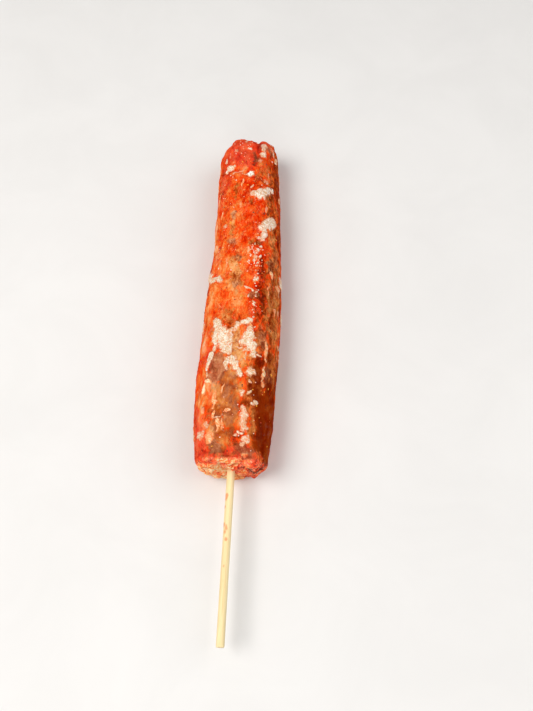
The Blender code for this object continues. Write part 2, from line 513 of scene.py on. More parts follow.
@dataclass
class Effects:
    """The node groups that several finishes share, each made once."""

    gap_softness: float = 0.08
    rim_softness: float = 0.3
    mottle: Group = field(init=False)
    veins: Group = field(init=False)
    flecks: Group = field(init=False)

    def __post_init__(self) -> None:
        """Makes the groups."""
        self.mottle, self.veins, self.flecks = self.make_mottle(), self.make_veins(), self.make_flecks()

    def make_mottle(self) -> Group:
        """Cloudy patches. Mask is cut out at Cut with edges of Softness, and Height is uncut.

        Returns:
            The group.
        """
        inputs = {"Size": 0.003, "Stretch": 1.0, "Twist": 0.4, "Cut": 0.5, "Softness": 0.1, "Shift": 0.0}
        sheet, ins, outs = new_effect("cloudy mottle", inputs, ("Mask", "Height"))
        cloud = sheet.cloud(stretched_place(sheet, ins), 4.0, 0.62, Distortion=ins["Twist"])
        low, high = sheet.less(ins["Cut"], ins["Softness"]), sheet.plus(ins["Cut"], ins["Softness"])
        sheet.feed(outs["Mask"], sheet.span(cloud, low, high))
        sheet.feed(outs["Height"], cloud)
        return sheet.tree

    def make_veins(self) -> Group:
        """Thin wandering threads of a Width, broken up where Gaps is high.

        Returns:
            The group.
        """
        inputs = {"Size": 0.003, "Stretch": 1.0, "Twist": 1.0, "Width": 0.03, "Gaps": 0.5, "Shift": 0.0}
        sheet, ins, outs = new_effect("fibre veins", inputs, ("Mask",))
        place = stretched_place(sheet, ins)
        cloud = sheet.cloud(place, 2.0, Distortion=ins["Twist"])
        off = sheet.maths("DIVIDE", sheet.maths("ABSOLUTE", sheet.less(cloud, 0.5)), ins["Width"])
        thread = sheet.maths("SUBTRACT", 1.0, off, clamp=True)
        where = sheet.cloud(place, 1.0, Scale=0.45)
        low, high = sheet.less(ins["Gaps"], self.gap_softness), sheet.plus(ins["Gaps"], self.gap_softness)
        sheet.feed(outs["Mask"], sheet.times(thread, sheet.span(where, low, high)))
        return sheet.tree

    def make_flecks(self) -> Group:
        """Separate small spots: Share of the cells hold one, and Reach is its radius in cells.

        Returns:
            The group.
        """
        inputs = {"Size": 0.002, "Stretch": 1.0, "Share": 0.3, "Reach": 0.3, "Shift": 0.0}
        sheet, ins, outs = new_effect("scattered flecks", inputs, ("Mask",))
        place = stretched_place(sheet, ins)
        ragged = sheet.add("TexNoise", {"Vector": place, "Scale": 2.6, "Detail": 1.0}).outputs["Color"]
        bend = sheet.add("VectorMath", {0: ragged, "Scale": 0.55}, operation="SCALE").outputs[0]
        bent = sheet.vector("ADD", place, bend)
        cells = sheet.add("TexVoronoi", {"Vector": bent, "Scale": 1.0, "Randomness": 1.0})
        own = sheet.add("SeparateColor", {0: cells.outputs["Color"]}).outputs[0]
        near = sheet.less(1.0, sheet.maths("DIVIDE", cells.outputs["Distance"], ins["Reach"]))
        spot = sheet.span(near, 0.0, self.rim_softness)
        sheet.feed(outs["Mask"], sheet.times(spot, sheet.maths("LESS_THAN", own, ins["Share"])))
        return sheet.tree


def new_material(name: str) -> tuple[bpy.types.Material, NodeSheet, bpy.types.Node]:
    """A material with one Principled shader.

    Args:
        name: the material's name.

    Returns:
        The material, its sheet and that shader.
    """
    material = bpy.data.materials.new(name)
    material.use_nodes = True
    return material, NodeSheet(material.node_tree), material.node_tree.nodes["Principled BSDF"]


# ---- finishes


class Tone(Enum):
    """What a zone of the skin leans to, by the mark that the finish reads: a colour, painted shade, or a
    glazed look.
    """

    RED = "red_zone"
    GOLD = "gold_zone"
    BROWN = "brown_zone"
    SMOKE = "smoke_zone"
    PINK = "pink_zone"
    DARK = "painted_shade_zone"
    SOFT = "soft_zone"


@dataclass(frozen=True)
class MinceFinish:
    """Raw spiced mince: orange-red, mottled with brown, tan and fat, and glossy from ice and juice, with
    painted light on its crests and painted shade in its hollows, creases and shaded zones.

    A share is how far a form moves the tone, and a cover how strongly a colour hides what is under it.
    """

    fresh: Stops = (
        (0.24, 0.50, 0.012, 0.001), (0.38, 0.76, 0.030, 0.001), (0.48, 0.84, 0.058, 0.004),
        (0.56, 0.84, 0.108, 0.011), (0.66, 0.87, 0.195, 0.034), (0.80, 0.90, 0.370, 0.140),
    )
    browned: Stops = (
        (0.30, 0.18, 0.020, 0.002), (0.43, 0.35, 0.066, 0.008), (0.52, 0.50, 0.135, 0.026),
        (0.62, 0.65, 0.250, 0.066), (0.78, 0.82, 0.460, 0.190),
    )
    smoky: Stops = (
        (0.28, 0.12, 0.022, 0.008), (0.43, 0.25, 0.062, 0.026),
        (0.54, 0.40, 0.130, 0.060), (0.68, 0.60, 0.270, 0.140),
    )
    rosy: Stops = (
        (0.28, 0.48, 0.018, 0.010), (0.42, 0.74, 0.050, 0.022), (0.54, 0.84, 0.105, 0.045),
        (0.66, 0.89, 0.210, 0.105), (0.80, 0.92, 0.420, 0.260),
    )
    # The colours of the painted shade zones.
    shaded: Stops = (
        (0.28, 0.090, 0.004, 0.000), (0.44, 0.150, 0.008, 0.000),
        (0.56, 0.230, 0.024, 0.001), (0.72, 0.420, 0.095, 0.015),
    )
    # The torn face's colours; the darkest stop is painted shade, for the gap below and right of the stick.
    torn: Stops = (
        (0.02, 0.93, 0.640, 0.360), (0.18, 0.92, 0.360, 0.110), (0.34, 0.90, 0.200, 0.050),
        (0.52, 0.86, 0.110, 0.045), (0.66, 0.80, 0.060, 0.020), (0.80, 0.50, 0.045, 0.022),
        (0.94, 0.14, 0.022, 0.012),
    )
    golden: Colour = (0.86, 0.31, 0.06, 1.0)
    peach: Colour = (0.90, 0.42, 0.18, 1.0)
    cream: Colour = (0.90, 0.62, 0.38, 1.0)
    # Painted shade for the creases of the skin and the gaps of the torn face.
    crevice_shade: Colour = (0.24, 0.035, 0.005, 1.0)
    pepper: Colour = (0.10, 0.010, 0.002, 1.0)
    base_tone: float = 0.225
    cloud_share: float = 0.55
    strand_share: float = 0.64
    # Painted light and shade: how far the relief mark lightens crests and darkens hollows.
    relief_shading_share: float = 0.28
    red_share: float = 0.13
    gold_share: float = 0.115
    fresh_contrast: float = 1.18
    fresh_middle: float = 0.495
    cooked_contrast: float = 1.45
    zone_wander: float = 2.2
    glaze: float = 0.6
    pink_cover: float = 0.9
    brown_cover: float = 0.9
    blotch_cover: float = 0.34
    smoke_cover: float = 0.85
    # How strongly the painted shade covers.
    shade_cover: float = 0.92
    thread_cover: float = 0.58
    thread_loss_in_shade: float = 0.46
    crease_cover: float = 0.52
    pepper_cover: float = 0.55
    rime_gain: float = 0.15
    torn_wander: float = 2.0
    torn_relief_shading_share: float = 0.6
    torn_cover: float = 0.75
    roughness: Span = (0.34, 0.56)
    bump_depth: float = 0.00035
    fine_bump: float = 0.35
    film: float = 0.32
    torn_film: float = 0.25

    def zoned_colour(
        self, sheet: NodeSheet, effects: Effects, sharp: Socket, zones: dict[Tone, Socket]
    ) -> Socket:
        """The mince's colour by its tone, in clouds of lumps and strands, with its zones over it.

        Args:
            sheet: the material's sheet.
            effects: the node groups.
            sharp: how clearly strands show through the glaze.
            zones: how far pink, brown and smoky zones and the zones of painted shade cover.

        Returns:
            The colour socket.
        """
        wide = sheet.effect(effects.mottle, "Height", size=0.0042, stretch=1.5, twist=0.7)
        narrow = sheet.effect(effects.mottle, "Height", size=0.0016, stretch=1.5, twist=1.6, shift=3.1)
        # Painted light on the relief's crests and painted shade in its hollows and fold grooves.
        relief_light_and_shade = sheet.swing(sheet.mark("relief_light_and_shade"), self.relief_shading_share)
        detail = sheet.times(sheet.plus(sheet.swing(narrow, self.strand_share), relief_light_and_shade), sharp)
        light = sheet.plus(sheet.times(wide, self.cloud_share), sheet.plus(detail, self.base_tone))
        redder = sheet.times(sheet.mark(Tone.RED.value), self.red_share)
        lighter = sheet.times(sheet.mark(Tone.GOLD.value), self.gold_share)
        tone = sheet.plus(sheet.less(light, redder), lighter)
        fresh_tone = sheet.plus(sheet.swing(tone, self.fresh_contrast), self.fresh_middle)
        cooked_tone = sheet.plus(sheet.swing(tone, self.cooked_contrast), 0.5)
        colour = sheet.ramp(fresh_tone, self.fresh)
        colour = sheet.lay(colour, sheet.ramp(tone, self.rosy), zones[Tone.PINK], self.pink_cover)
        spots = {"size": 0.0036, "stretch": 1.5, "twist": 1.2, "cut": 0.56, "softness": 0.07, "shift": 7.7}
        blotch = sheet.times(sheet.effect(effects.mottle, **spots), self.blotch_cover)
        brown = sheet.maths("MAXIMUM", sheet.times(zones[Tone.BROWN], self.brown_cover), blotch)
        colour = sheet.blend(brown, colour, sheet.ramp(cooked_tone, self.browned))
        colour = sheet.lay(colour, sheet.ramp(cooked_tone, self.smoky), zones[Tone.SMOKE], self.smoke_cover)
        # Painted shade: mostly the neighbouring skewers' shadow on the right and low sides, partly darker
        # meat.
        return sheet.lay(colour, sheet.ramp(tone, self.shaded), zones[Tone.DARK], self.shade_cover)

    def skin_colour(self, sheet: NodeSheet, effects: Effects) -> Socket:
        """The pressed skin's colour: its zones, and over them threads, painted shade in creases, fat and
        specks.

        Args:
            sheet: the material's sheet.
            effects: the node groups.

        Returns:
            The colour socket.
        """
        sharp = sheet.less(1.0, sheet.times(sheet.mark(Tone.SOFT.value), self.glaze))
        ragged = sheet.effect(effects.mottle, "Height", size=0.0019, stretch=1.6, twist=1.0, shift=5.2)
        loose = sheet.swing(ragged, self.zone_wander)
        bands = {Tone.PINK: (0.15, 0.95), Tone.BROWN: (0.2, 0.8)}
        bands |= {Tone.SMOKE: (0.2, 0.85), Tone.DARK: (0.2, 0.8)}
        zones = {each: sheet.span(sheet.plus(sheet.mark(each.value), loose), *bands[each]) for each in bands}
        colour = self.zoned_colour(sheet, effects, sharp, zones)
        # Threads, fat and rime fade under the painted shade.
        in_shade = sheet.times(zones[Tone.DARK], self.thread_loss_in_shade)
        lit = sheet.times(sheet.less(self.thread_cover, in_shade), sharp)
        veins, flecks = effects.veins, effects.flecks
        strands = sheet.effect(veins, size=0.0022, stretch=2.2, twist=1.6, width=0.03, gaps=0.5, shift=2.2)
        colour = sheet.lay(colour, self.golden, strands, lit)
        wisps = sheet.effect(veins, size=0.0011, stretch=1.5, twist=1.4, width=0.045, gaps=0.54, shift=9.4)
        colour = sheet.lay(colour, self.peach, wisps, lit)
        # Painted shade in thin creases.
        creases = sheet.effect(veins, size=0.0014, stretch=1.4, twist=1.8, width=0.03, gaps=0.5, shift=4.4)
        colour = sheet.lay(colour, self.crevice_shade, creases, sheet.times(sharp, self.crease_cover))
        fat = sheet.effect(flecks, size=0.0034, stretch=1.8, share=0.16, reach=0.24, shift=1.3)
        colour = sheet.lay(colour, self.cream, fat, lit)
        pepper = sheet.effect(flecks, size=0.0022, share=0.16, reach=0.14, shift=6.1)
        colour = sheet.lay(colour, self.pepper, pepper, self.pepper_cover)
        rime = sheet.effect(flecks, size=0.0017, share=0.14, reach=0.17, shift=8.8)
        return sheet.lay(colour, self.peach, rime, sheet.plus(lit, self.rime_gain))

    def torn_colour(self, sheet: NodeSheet, effects: Effects) -> Socket:
        """The torn face's colour, strand by strand, with painted light on raised lobes and painted shade in
        the gaps between strands and below right of the stick.

        Args:
            sheet: the material's sheet.
            effects: the node groups.

        Returns:
            The colour socket.
        """
        cloud = sheet.effect(effects.mottle, "Height", size=0.0016, twist=1.0, shift=3.9)
        tint = sheet.plus(sheet.mark("strand_tint"), sheet.swing(cloud, self.torn_wander))
        # Painted light on raised lobes and painted shade between them.
        relief_light_and_shade = sheet.swing(sheet.mark("relief_light_and_shade"), self.torn_relief_shading_share)
        colour = sheet.ramp(sheet.less(tint, relief_light_and_shade), self.torn)
        thread = sheet.effect(effects.veins, size=0.0011, twist=1.8, width=0.045, gaps=0.48, shift=5.5)
        colour = sheet.lay(colour, self.cream, thread, self.torn_cover)
        # Painted shade in the gaps between strands.
        gaps = sheet.effect(effects.veins, size=0.0019, twist=1.6, width=0.03, gaps=0.5, shift=7.5)
        return sheet.lay(colour, self.crevice_shade, gaps, self.torn_cover)

    def build(self, effects: Effects) -> bpy.types.Material:
        """Makes the material.

        Args:
            effects: the node groups.

        Returns:
            The material.
        """
        material, sheet, shader = new_material("spiced mince")
        torn = sheet.mark("torn_face")
        colour = sheet.blend(torn, self.skin_colour(sheet, effects), self.torn_colour(sheet, effects))
        wet = sheet.effect(effects.mottle, "Height", size=0.0022, stretch=1.4, shift=2.7)
        coarse = sheet.effect(effects.mottle, "Height", size=0.0016, stretch=1.5, twist=0.8, shift=6.6)
        fine = sheet.effect(effects.mottle, "Height", size=0.0006, stretch=1.3, twist=0.4, shift=8.1)
        height = sheet.plus(coarse, sheet.times(fine, self.fine_bump))
        drops = {"size": 0.0014, "stretch": 1.3, "twist": 0.9, "cut": 0.60, "softness": 0.04, "shift": 8.6}
        wetness = sheet.plus(sheet.times(torn, self.torn_film), self.film)
        looks = {
            "Base Color": colour,
            "Roughness": sheet.span(wet, 0.35, 0.65, *self.roughness),
            "Normal": sheet.bump(height, self.bump_depth),
            "Coat Weight": sheet.times(sheet.effect(effects.mottle, **drops), wetness),
            "Coat Roughness": 0.12,
            "Coat IOR": 1.35,
            "Specular IOR Level": 0.0,
            "Specular Tint": (1.0, 0.55, 0.32, 1.0),
            "Subsurface Weight": 0.10,
            "Subsurface Radius": (1.0, 0.30, 0.10),
            "Subsurface Scale": 0.0012,
        }
        sheet.dress(shader, looks)
        return material


@dataclass(frozen=True)
class CrustFinish:
    """A thin frozen crust: its own colour where it is thick, and the meat showing where it thins out."""

    name: str
    thick: Colour
    milky: Colour
    thin: Colour
    line: Colour
    crack: Colour
    rime: Colour
    roughness: float
    softness: float
    shift: float
    fade: float = 1.0
    wander: float = 1.3
    cover: float = 0.85
    bump_depth: float = 0.00022
    under: MinceFinish = MinceFinish()

    def build(self, effects: Effects) -> bpy.types.Material:
        """Makes the material.

        Args:
            effects: the node groups.

        Returns:
            The material.
        """
        material, sheet, shader = new_material(self.name)
        thickness = sheet.mark("thickness")
        cloud = sheet.effect(effects.mottle, "Height", size=0.0013, twist=1.0, shift=self.shift)
        body = sheet.plus(thickness, sheet.swing(cloud, self.wander))
        meat = self.under.skin_colour(sheet, effects)
        colour = sheet.lay(meat, self.thin, sheet.span(body, -0.05, 0.38), self.cover)
        curds = {"size": 0.0011, "twist": 1.2, "cut": 0.5, "softness": 0.05, "shift": self.shift + 2.0}
        dense = sheet.blend(sheet.mark("rime"), self.thick, self.rime)
        milk = sheet.blend(sheet.effect(effects.mottle, **curds), self.milky, dense)
        colour = sheet.blend(sheet.span(body, 0.22, self.fade), colour, milk)
        colour = sheet.lay(colour, self.line, sheet.mark("swirl"), self.cover)
        cracks = {"size": 0.0012, "twist": 2.0, "width": 0.06, "gaps": 0.4, "shift": self.shift + 4.0}
        colour = sheet.lay(colour, self.crack, sheet.effect(effects.veins, **cracks), self.cover)
        # Tops weighted past 1 go to the line colour: on the frost this paints a highlight, and light for the
        # dimmer right facet.
        colour = sheet.blend(sheet.span(thickness, 1.0, 1.3), colour, self.line)
        fine = sheet.effect(effects.mottle, "Height", size=0.0007, twist=0.6, shift=self.shift + 1.0)
        looks = {
            "Base Color": colour,
            "Roughness": sheet.span(cloud, 0.3, 0.7, self.roughness - 0.08, self.roughness + 0.12),
            "Normal": sheet.bump(fine, self.bump_depth),
            "Specular IOR Level": 0.30,
            "Subsurface Weight": self.softness,
            "Subsurface Radius": (1.0, 0.55, 0.40),
            "Subsurface Scale": 0.0010,
        }
        sheet.dress(shader, looks)
        return material


@dataclass(frozen=True)
class GrainFinish:
    """Small grains whose own tint runs between three colours."""

    name: str
    low: Colour
    middle: Colour
    high: Colour
    roughness: float
    coat: float
    clouding: float = 0.3
    bump_depth: float = 0.00008

    def build(self, effects: Effects) -> bpy.types.Material:
        """Makes the material.

        Args:
            effects: the node groups.

        Returns:
            The material.
        """
        material, sheet, shader = new_material(self.name)
        cloud = sheet.effect(effects.mottle, "Height", size=0.0005, twist=0.5, shift=2.0)
        mixed = sheet.plus(sheet.mark("tint"), sheet.swing(cloud, self.clouding))
        colour = sheet.blend(sheet.span(mixed, 0.15, 0.5), self.low, self.middle)
        colour = sheet.blend(sheet.span(mixed, 0.5, 0.85), colour, self.high)
        rough = sheet.span(cloud, 0.3, 0.7, self.roughness, self.roughness + 0.15)
        bump = sheet.bump(cloud, self.bump_depth)
        sheet.dress(shader, {"Base Color": colour, "Roughness": rough, "Normal": bump})
        sheet.dress(shader, {"Coat Weight": self.coat, "Coat Roughness": 0.15})
        return material


@dataclass(frozen=True)
class BambooFinish:
    """Plain bamboo: pale straw with fine lengthwise fibres, and red juice near the meat."""

    straw: Colour = (0.85, 0.66, 0.34, 1.0)
    pale: Colour = (0.90, 0.75, 0.42, 1.0)
    fibre: Colour = (0.72, 0.53, 0.22, 1.0)
    juice: Colour = (0.80, 0.26, 0.09, 1.0)
    fibre_cover: float = 0.55
    pore_cover: float = 0.4
    juice_cover: float = 0.8
    juice_wander: float = 1.2
    roughness: Span = (0.46, 0.62)
    bump_depth: float = 0.00012

    def build(self, effects: Effects) -> bpy.types.Material:
        """Makes the material.

        Args:
            effects: the node groups.

        Returns:
            The material.
        """
        material, sheet, shader = new_material("bamboo")
        stripes = {"size": 0.0008, "stretch": 40.0, "twist": 0.2, "cut": 0.5, "softness": 0.15, "shift": 1.0}
        colour = sheet.blend(sheet.effect(effects.mottle, **stripes), self.straw, self.pale)
        hairs = {"size": 0.0004, "stretch": 60.0, "twist": 0.3, "width": 0.05, "gaps": 0.45, "shift": 3.0}
        colour = sheet.lay(colour, self.fibre, sheet.effect(effects.veins, **hairs), self.fibre_cover)
        pores = sheet.effect(effects.flecks, size=0.0006, stretch=9.0, share=0.22, reach=0.22, shift=5.0)
        colour = sheet.lay(colour, self.fibre, pores, self.pore_cover)
        cloud = sheet.effect(effects.mottle, "Height", size=0.0012, stretch=2.5, twist=0.8, shift=7.0)
        wet = sheet.plus(sheet.mark("juice"), sheet.swing(cloud, self.juice_wander))
        colour = sheet.lay(colour, self.juice, sheet.span(wet, 0.3, 0.8), self.juice_cover)
        rough = sheet.span(cloud, 0.3, 0.7, *self.roughness)
        grain = sheet.effect(effects.mottle, "Height", size=0.0003, stretch=50.0, twist=0.1, shift=9.0)
        bump = sheet.bump(grain, self.bump_depth)
        sheet.dress(shader, {"Base Color": colour, "Roughness": rough, "Normal": bump})
        return material


@dataclass(frozen=True)
class FloorFinish:
    """A plain pale floor with the faintest clouding."""

    pale: Colour = (0.74, 0.73, 0.72, 1.0)
    paler: Colour = (0.78, 0.77, 0.76, 1.0)

    def build(self, effects: Effects) -> bpy.types.Material:
        """Makes the material.

        Args:
            effects: the node groups.

        Returns:
            The material.
        """
        material, sheet, shader = new_material("pale floor")
        cloud = sheet.effect(effects.mottle, size=0.05, twist=0.5, cut=0.5, softness=0.3, shift=1.0)
        sheet.dress(shader, {"Base Color": sheet.blend(cloud, self.pale, self.paler), "Roughness": 0.85})
        return material


# ---- the meat


class ReliefKind(Enum):
    """The forms that the skin's relief takes."""

    LUMPS = "lumps"
    THREADS = "threads"
    GRAINS = "grains"
    PITS = "pits"


@dataclass(frozen=True)
class Relief:
    """One layer of the skin's relief: its sizes across, along and up in mm, its height in mm, its shift."""

    kind: ReliefKind
    sizes: Triple
    height: float
    shift: float
    pit_band: Span = (0.55, 0.95)

    def read(self, points: Array) -> Array:
        """How far this layer lifts each point, in metres.

        Args:
            points: one row each.

        Returns:
            One value a point.
        """
        readers = {ReliefKind.LUMPS: noise_at, ReliefKind.THREADS: ridges_at}
        form = readers.get(self.kind, pits_at)(points, [each * MM for each in self.sizes], self.shift)
        if self.kind is ReliefKind.PITS:
            form = -smooth_step(form, *self.pit_band)
        return form * self.height * MM


@dataclass(frozen=True)
class Zone:
    """A soft-edged patch of one tone: its middle, and its length and width in mm."""

    tone: Tone
    along: float
    angle: float
    length: float
    width: float
    strength: float = 1.0

    def read(self, along: Array, angle: Array) -> Array:
        """How strongly the patch covers places.

        Args:
            along: mm along the meat.
            angle: degrees round it.

        Returns:
            One value a place, from 0 to the patch's strength.
        """
        across = turn_between(angle, self.angle) * ARC_MM / (0.5 * self.width)
        down = (along - self.along) / (0.5 * self.length)
        return self.strength * np.exp(-((across**2 + down**2) ** 1.5) * 0.6)


ZONE_SEED = 7
CHANCE_ZONES = 70
PLACED_ZONES: dict[Tone, tuple[Row, ...]] = {
    Tone.RED: (
        (143, 117, 18, 14, 0.4), (137, 104, 10, 8, 0.6), (148, 71, 12, 7, 1.5), (133, 80, 10, 5, 0.8),
        (122, 79, 14, 9, 0.7), (116, 92, 10, 5, 0.9), (124, 155, 30, 11, 0.8), (112, 60, 8, 5, 0.8),
        (98, 127, 10, 6, 0.6), (84, 142, 11, 7, 0.4), (88, 115, 6, 4.5, 0.8), (60, 131, 12, 5, 0.6),
        (57, 67, 22, 3.6, 0.8), (72, 57, 40, 3.4, 0.9), (24, 133, 10, 4, 0.7), (35, 131, 8, 3, 0.7),
        (8, 163, 22, 9, 0.3), (9, 83, 7, 3, 0.7), (50, 142, 14, 3, 0.6), (26, 70, 12, 4, 0.3),
        (1, 118, 4, 20, 0.9), (109, 76, 22, 8, 0.7), (101, 70, 12, 6, 0.8), (95, 62, 12, 5, 0.9),
        (95, 90, 10, 4, 0.6), (118, 100, 16, 6, 0.6),
    ),
    Tone.GOLD: (
        (107, 168, 20, 9), (96, 163, 10, 7, 1.2), (92, 147, 7, 5, 1.4), (86, 136, 8, 5, 0.7),
        (107, 148, 12, 6, 0.8), (131.5, 99, 4.5, 2.6, 1.6), (94, 37, 6, 4), (82, 119, 14, 3, 1.1),
        (78, 124, 10, 5, 0.9), (67, 138, 18, 7, 1.3), (58, 145, 10, 5, 1.2), (70, 112, 7, 3.6, 0.6),
        (64, 97, 6, 4, 0.5), (62, 84, 6, 4, 0.5), (75, 82, 8, 4, 0.5), (27, 136, 10, 8, 1.6),
        (22, 147, 12, 5, 1.3), (48, 152, 12, 6, 1.3), (8, 56, 6, 3, 0.4), (39.5, 80, 8, 5, 1.3),
        (28, 80, 10, 3, 0.7), (49, 90, 10, 3, 0.9), (67, 124, 6, 4, 0.6), (14, 144, 12, 4),
        (8, 128, 8, 4, 1.2), (84, 112, 42, 13, 0.45), (71, 124, 16, 9, 0.75),
    ),
    Tone.BROWN: (
        (129, 64, 14, 6, 0.6), (132, 47, 14, 6, 0.5), (119, 111, 14, 2.6, 0.7), (99, 113, 8, 2.6, 0.7),
        (93, 70, 5, 3.6, 0.8), (113, 78, 4, 3, 0.5), (84, 105, 9, 4, 0.7), (75, 98, 13, 4.6),
        (57, 106, 9, 6, 0.75), (50, 94, 13, 4.6, 1.1), (43, 91, 8, 4.6, 1.5), (14, 57, 16, 3, 0.9),
        (38.5, 77, 8, 4, 0.6), (28, 79, 10, 2.6, 0.5), (84, 37, 9, 4.6), (88, 25, 16, 5, 0.8),
        (66, 38, 20, 5, 0.8), (70, 23, 34, 6, 0.8), (55, 28, 18, 7, 0.9), (38, 27, 18, 7, 1.1),
        (31, 101, 13, 7, 1.2), (24, 105, 16, 9, 1.2), (24, 88, 14, 4, 0.9), (15, 96, 14, 7, 1.1),
        (22, 104, 56, 17, 0.6), (14, 118, 18, 5), (8, 116, 14, 8), (100, 33, 12, 4, 0.8),
        (118, 44, 12, 4, 0.8), (28, 60, 24, 6), (62, 50, 44, 5, 0.6), (47.5, 54, 14, 4, 0.9),
        (39.5, 61, 8, 4, 0.6),
    ),
    Tone.SMOKE: (
        (143.8, 42, 2.6, 4.8), (136, 75, 8, 3.4, 0.7), (106, 113, 4, 3, 1.1), (92.5, 113, 5, 3.4, 1.1),
        (86, 100, 7, 3.4, 0.6), (67.5, 70, 6, 3.6, 1.2), (72, 99, 5, 2.6, 0.7), (83, 38, 7, 3.2),
        (87, 24, 9, 3.6, 0.6), (48.5, 50, 9, 3.4, 0.8), (35.5, 121, 12, 7, 1.3), (25, 101, 11, 6, 0.75),
        (33, 100, 6, 4.6, 0.6), (44.5, 93, 7, 2.6, 0.5), (47.5, 87, 5, 3, 0.5), (14, 97, 9, 5, 0.6),
        (12, 121, 9, 3.4, 0.6), (21, 87, 7, 3.2, 0.8), (15.5, 103, 3, 6, 0.6), (4.6, 118, 6, 5, 1.2),
        (3.2, 69, 5, 7.6, 1.1), (34, 36, 10, 4.6, 0.9), (10, 41, 10, 4, 0.7),
    ),
    # Painted shade: mostly the neighbouring skewers' shadow on the right and low sides, partly darker meat.
    Tone.DARK: (
        (130, 20, 40, 9, 0.75), (128, 36, 34, 6, 0.5), (112, 40, 26, 7, 0.58), (104, 12, 30, 8, 0.7),
        (84, 37, 4, 2.4, 0.6), (74, 4, 30, 6, 0.55), (50, -2, 22, 5, 0.55), (36, 8, 26, 5, 0.8),
        (17, 34, 26, 8.6, 1.5), (11, 18, 34, 9, 1.5), (8, 44, 14, 5), (34, 51, 14, 4), (25, 52, 9, 5),
        (26, 60, 26, 4, 0.55), (62, 50, 40, 4, 0.52), (72, 56, 36, 3.6, 0.56), (74, 32, 60, 9, 0.36),
        (46, 30, 40, 10, 0.46), (104, 22, 44, 9, 0.5), (7, 76, 10, 5, 0.5),
    ),
    Tone.PINK: (
        (142, 108, 20, 20), (137, 92, 12, 8, 0.9), (149, 84, 7, 26), (146, 50, 9, 12, 1.1),
        (124, 146, 26, 7, 0.7), (88, 142, 12, 6, 0.6), (8, 157, 22, 12, 0.9), (26, 130, 9, 4, 0.8),
        (36, 131, 8, 3.6, 0.8), (1.5, 100, 5, 34), (44, 146, 14, 5, 0.7),
    ),
    Tone.SOFT: (
        (18, 96, 56, 22, 1.2), (18, 32, 60, 18, 1.3), (70, 53, 46, 5), (60, 24, 80, 12, 0.6),
        (143, 95, 26, 30), (128, 30, 40, 12, 0.7), (20, 150, 50, 10, 0.6),
    ),
}


def skin_zones() -> tuple[Zone, ...]:
    """The skin's zones: placed ones on the upper side, and chance ones round the rest.

    Returns:
        The zones.
    """
    zones = [Zone(tone, *row) for tone, rows in PLACED_ZONES.items() for row in rows]
    rng = np.random.default_rng(ZONE_SEED)
    turns = (Tone.RED, Tone.GOLD, Tone.BROWN, Tone.RED, Tone.BROWN)
    for number in range(CHANCE_ZONES):
        angle = rng.uniform(172.0, 345.0)
        length, width = rng.uniform(5.0, 22.0), rng.uniform(3.0, 8.0)
        along, strength = rng.uniform(2.0, 150.0), rng.uniform(0.7, 1.0)
        zones.append(Zone(turns[number % len(turns)], along, angle, length, width, strength))
    return tuple(zones)


@dataclass(frozen=True)
class ToneMap:
    """Paints the skin's zones on any piece that lies on it, with edges that wander by mm and degrees."""

    layout: Layout
    zones: tuple[Zone, ...] = field(default_factory=skin_zones)
    wander_along: float = 2.8
    wander_round: float = 8.5

    def paint_on(self, mesh: bpy.types.Mesh) -> None:
        """Paints one mark for each tone.

        Args:
            mesh: the piece's mesh.
        """
        points = mesh_points(mesh)
        along, angle = self.layout.places(points)
        along = along + noise_at(points, 0.004, 21.0) * self.wander_along
        angle = angle + noise_at(points, 0.003, 22.0) * self.wander_round
        fields = {tone: np.zeros(len(points)) for tone in Tone}
        for zone in self.zones:
            fields[zone.tone] = np.maximum(fields[zone.tone], zone.read(along, angle))
        for tone, values in fields.items():
            paint(mesh, tone.value, values)


@dataclass(frozen=True)
class Lump:
    """A lobe of mince at the torn end, in mm: its place from the stick's middle, its radius, how far out."""

    across: float
    up: float
    radius: float
    out: float
    tint: float


@dataclass(frozen=True)
class Fold:
    """A fold in the skin: its path as distances along and angles, and its depth, width and lip in mm."""

    path: tuple[Span, ...]
    depth: float
    width: float
    lip: float = 0.0

    def lift(self, along: Array, across: Array) -> Array:
        """How far the fold lifts places: down in its groove, up on the lip to the path's left.

        Args:
            along: mm along the meat.
            across: mm round it.

        Returns:
            One value a place, in mm.
        """
        nearest, side = np.full(len(along), np.inf), np.zeros(len(along))
        for (first, first_turn), (last, last_turn) in zip(self.path, self.path[1:]):
            start = np.array((first, first_turn * ARC_MM))
            step = np.array((last, last_turn * ARC_MM)) - start
            down, over = along - start[0], across - start[1]
            share = np.clip((down * step[0] + over * step[1]) / step.dot(step), 0.0, 1.0)
            gap = np.hypot(down - share * step[0], over - share * step[1])
            side = np.where(gap < nearest, np.sign(step[0] * over - step[1] * down) * gap, side)
            nearest = np.minimum(nearest, gap)
        groove = -self.depth * np.exp(-((nearest / (0.5 * self.width)) ** 2))
        return groove + self.lip * np.exp(-(((side - 1.2 * self.width) / (0.8 * self.width)) ** 2))


Balls = list[tuple[Vector, float]]


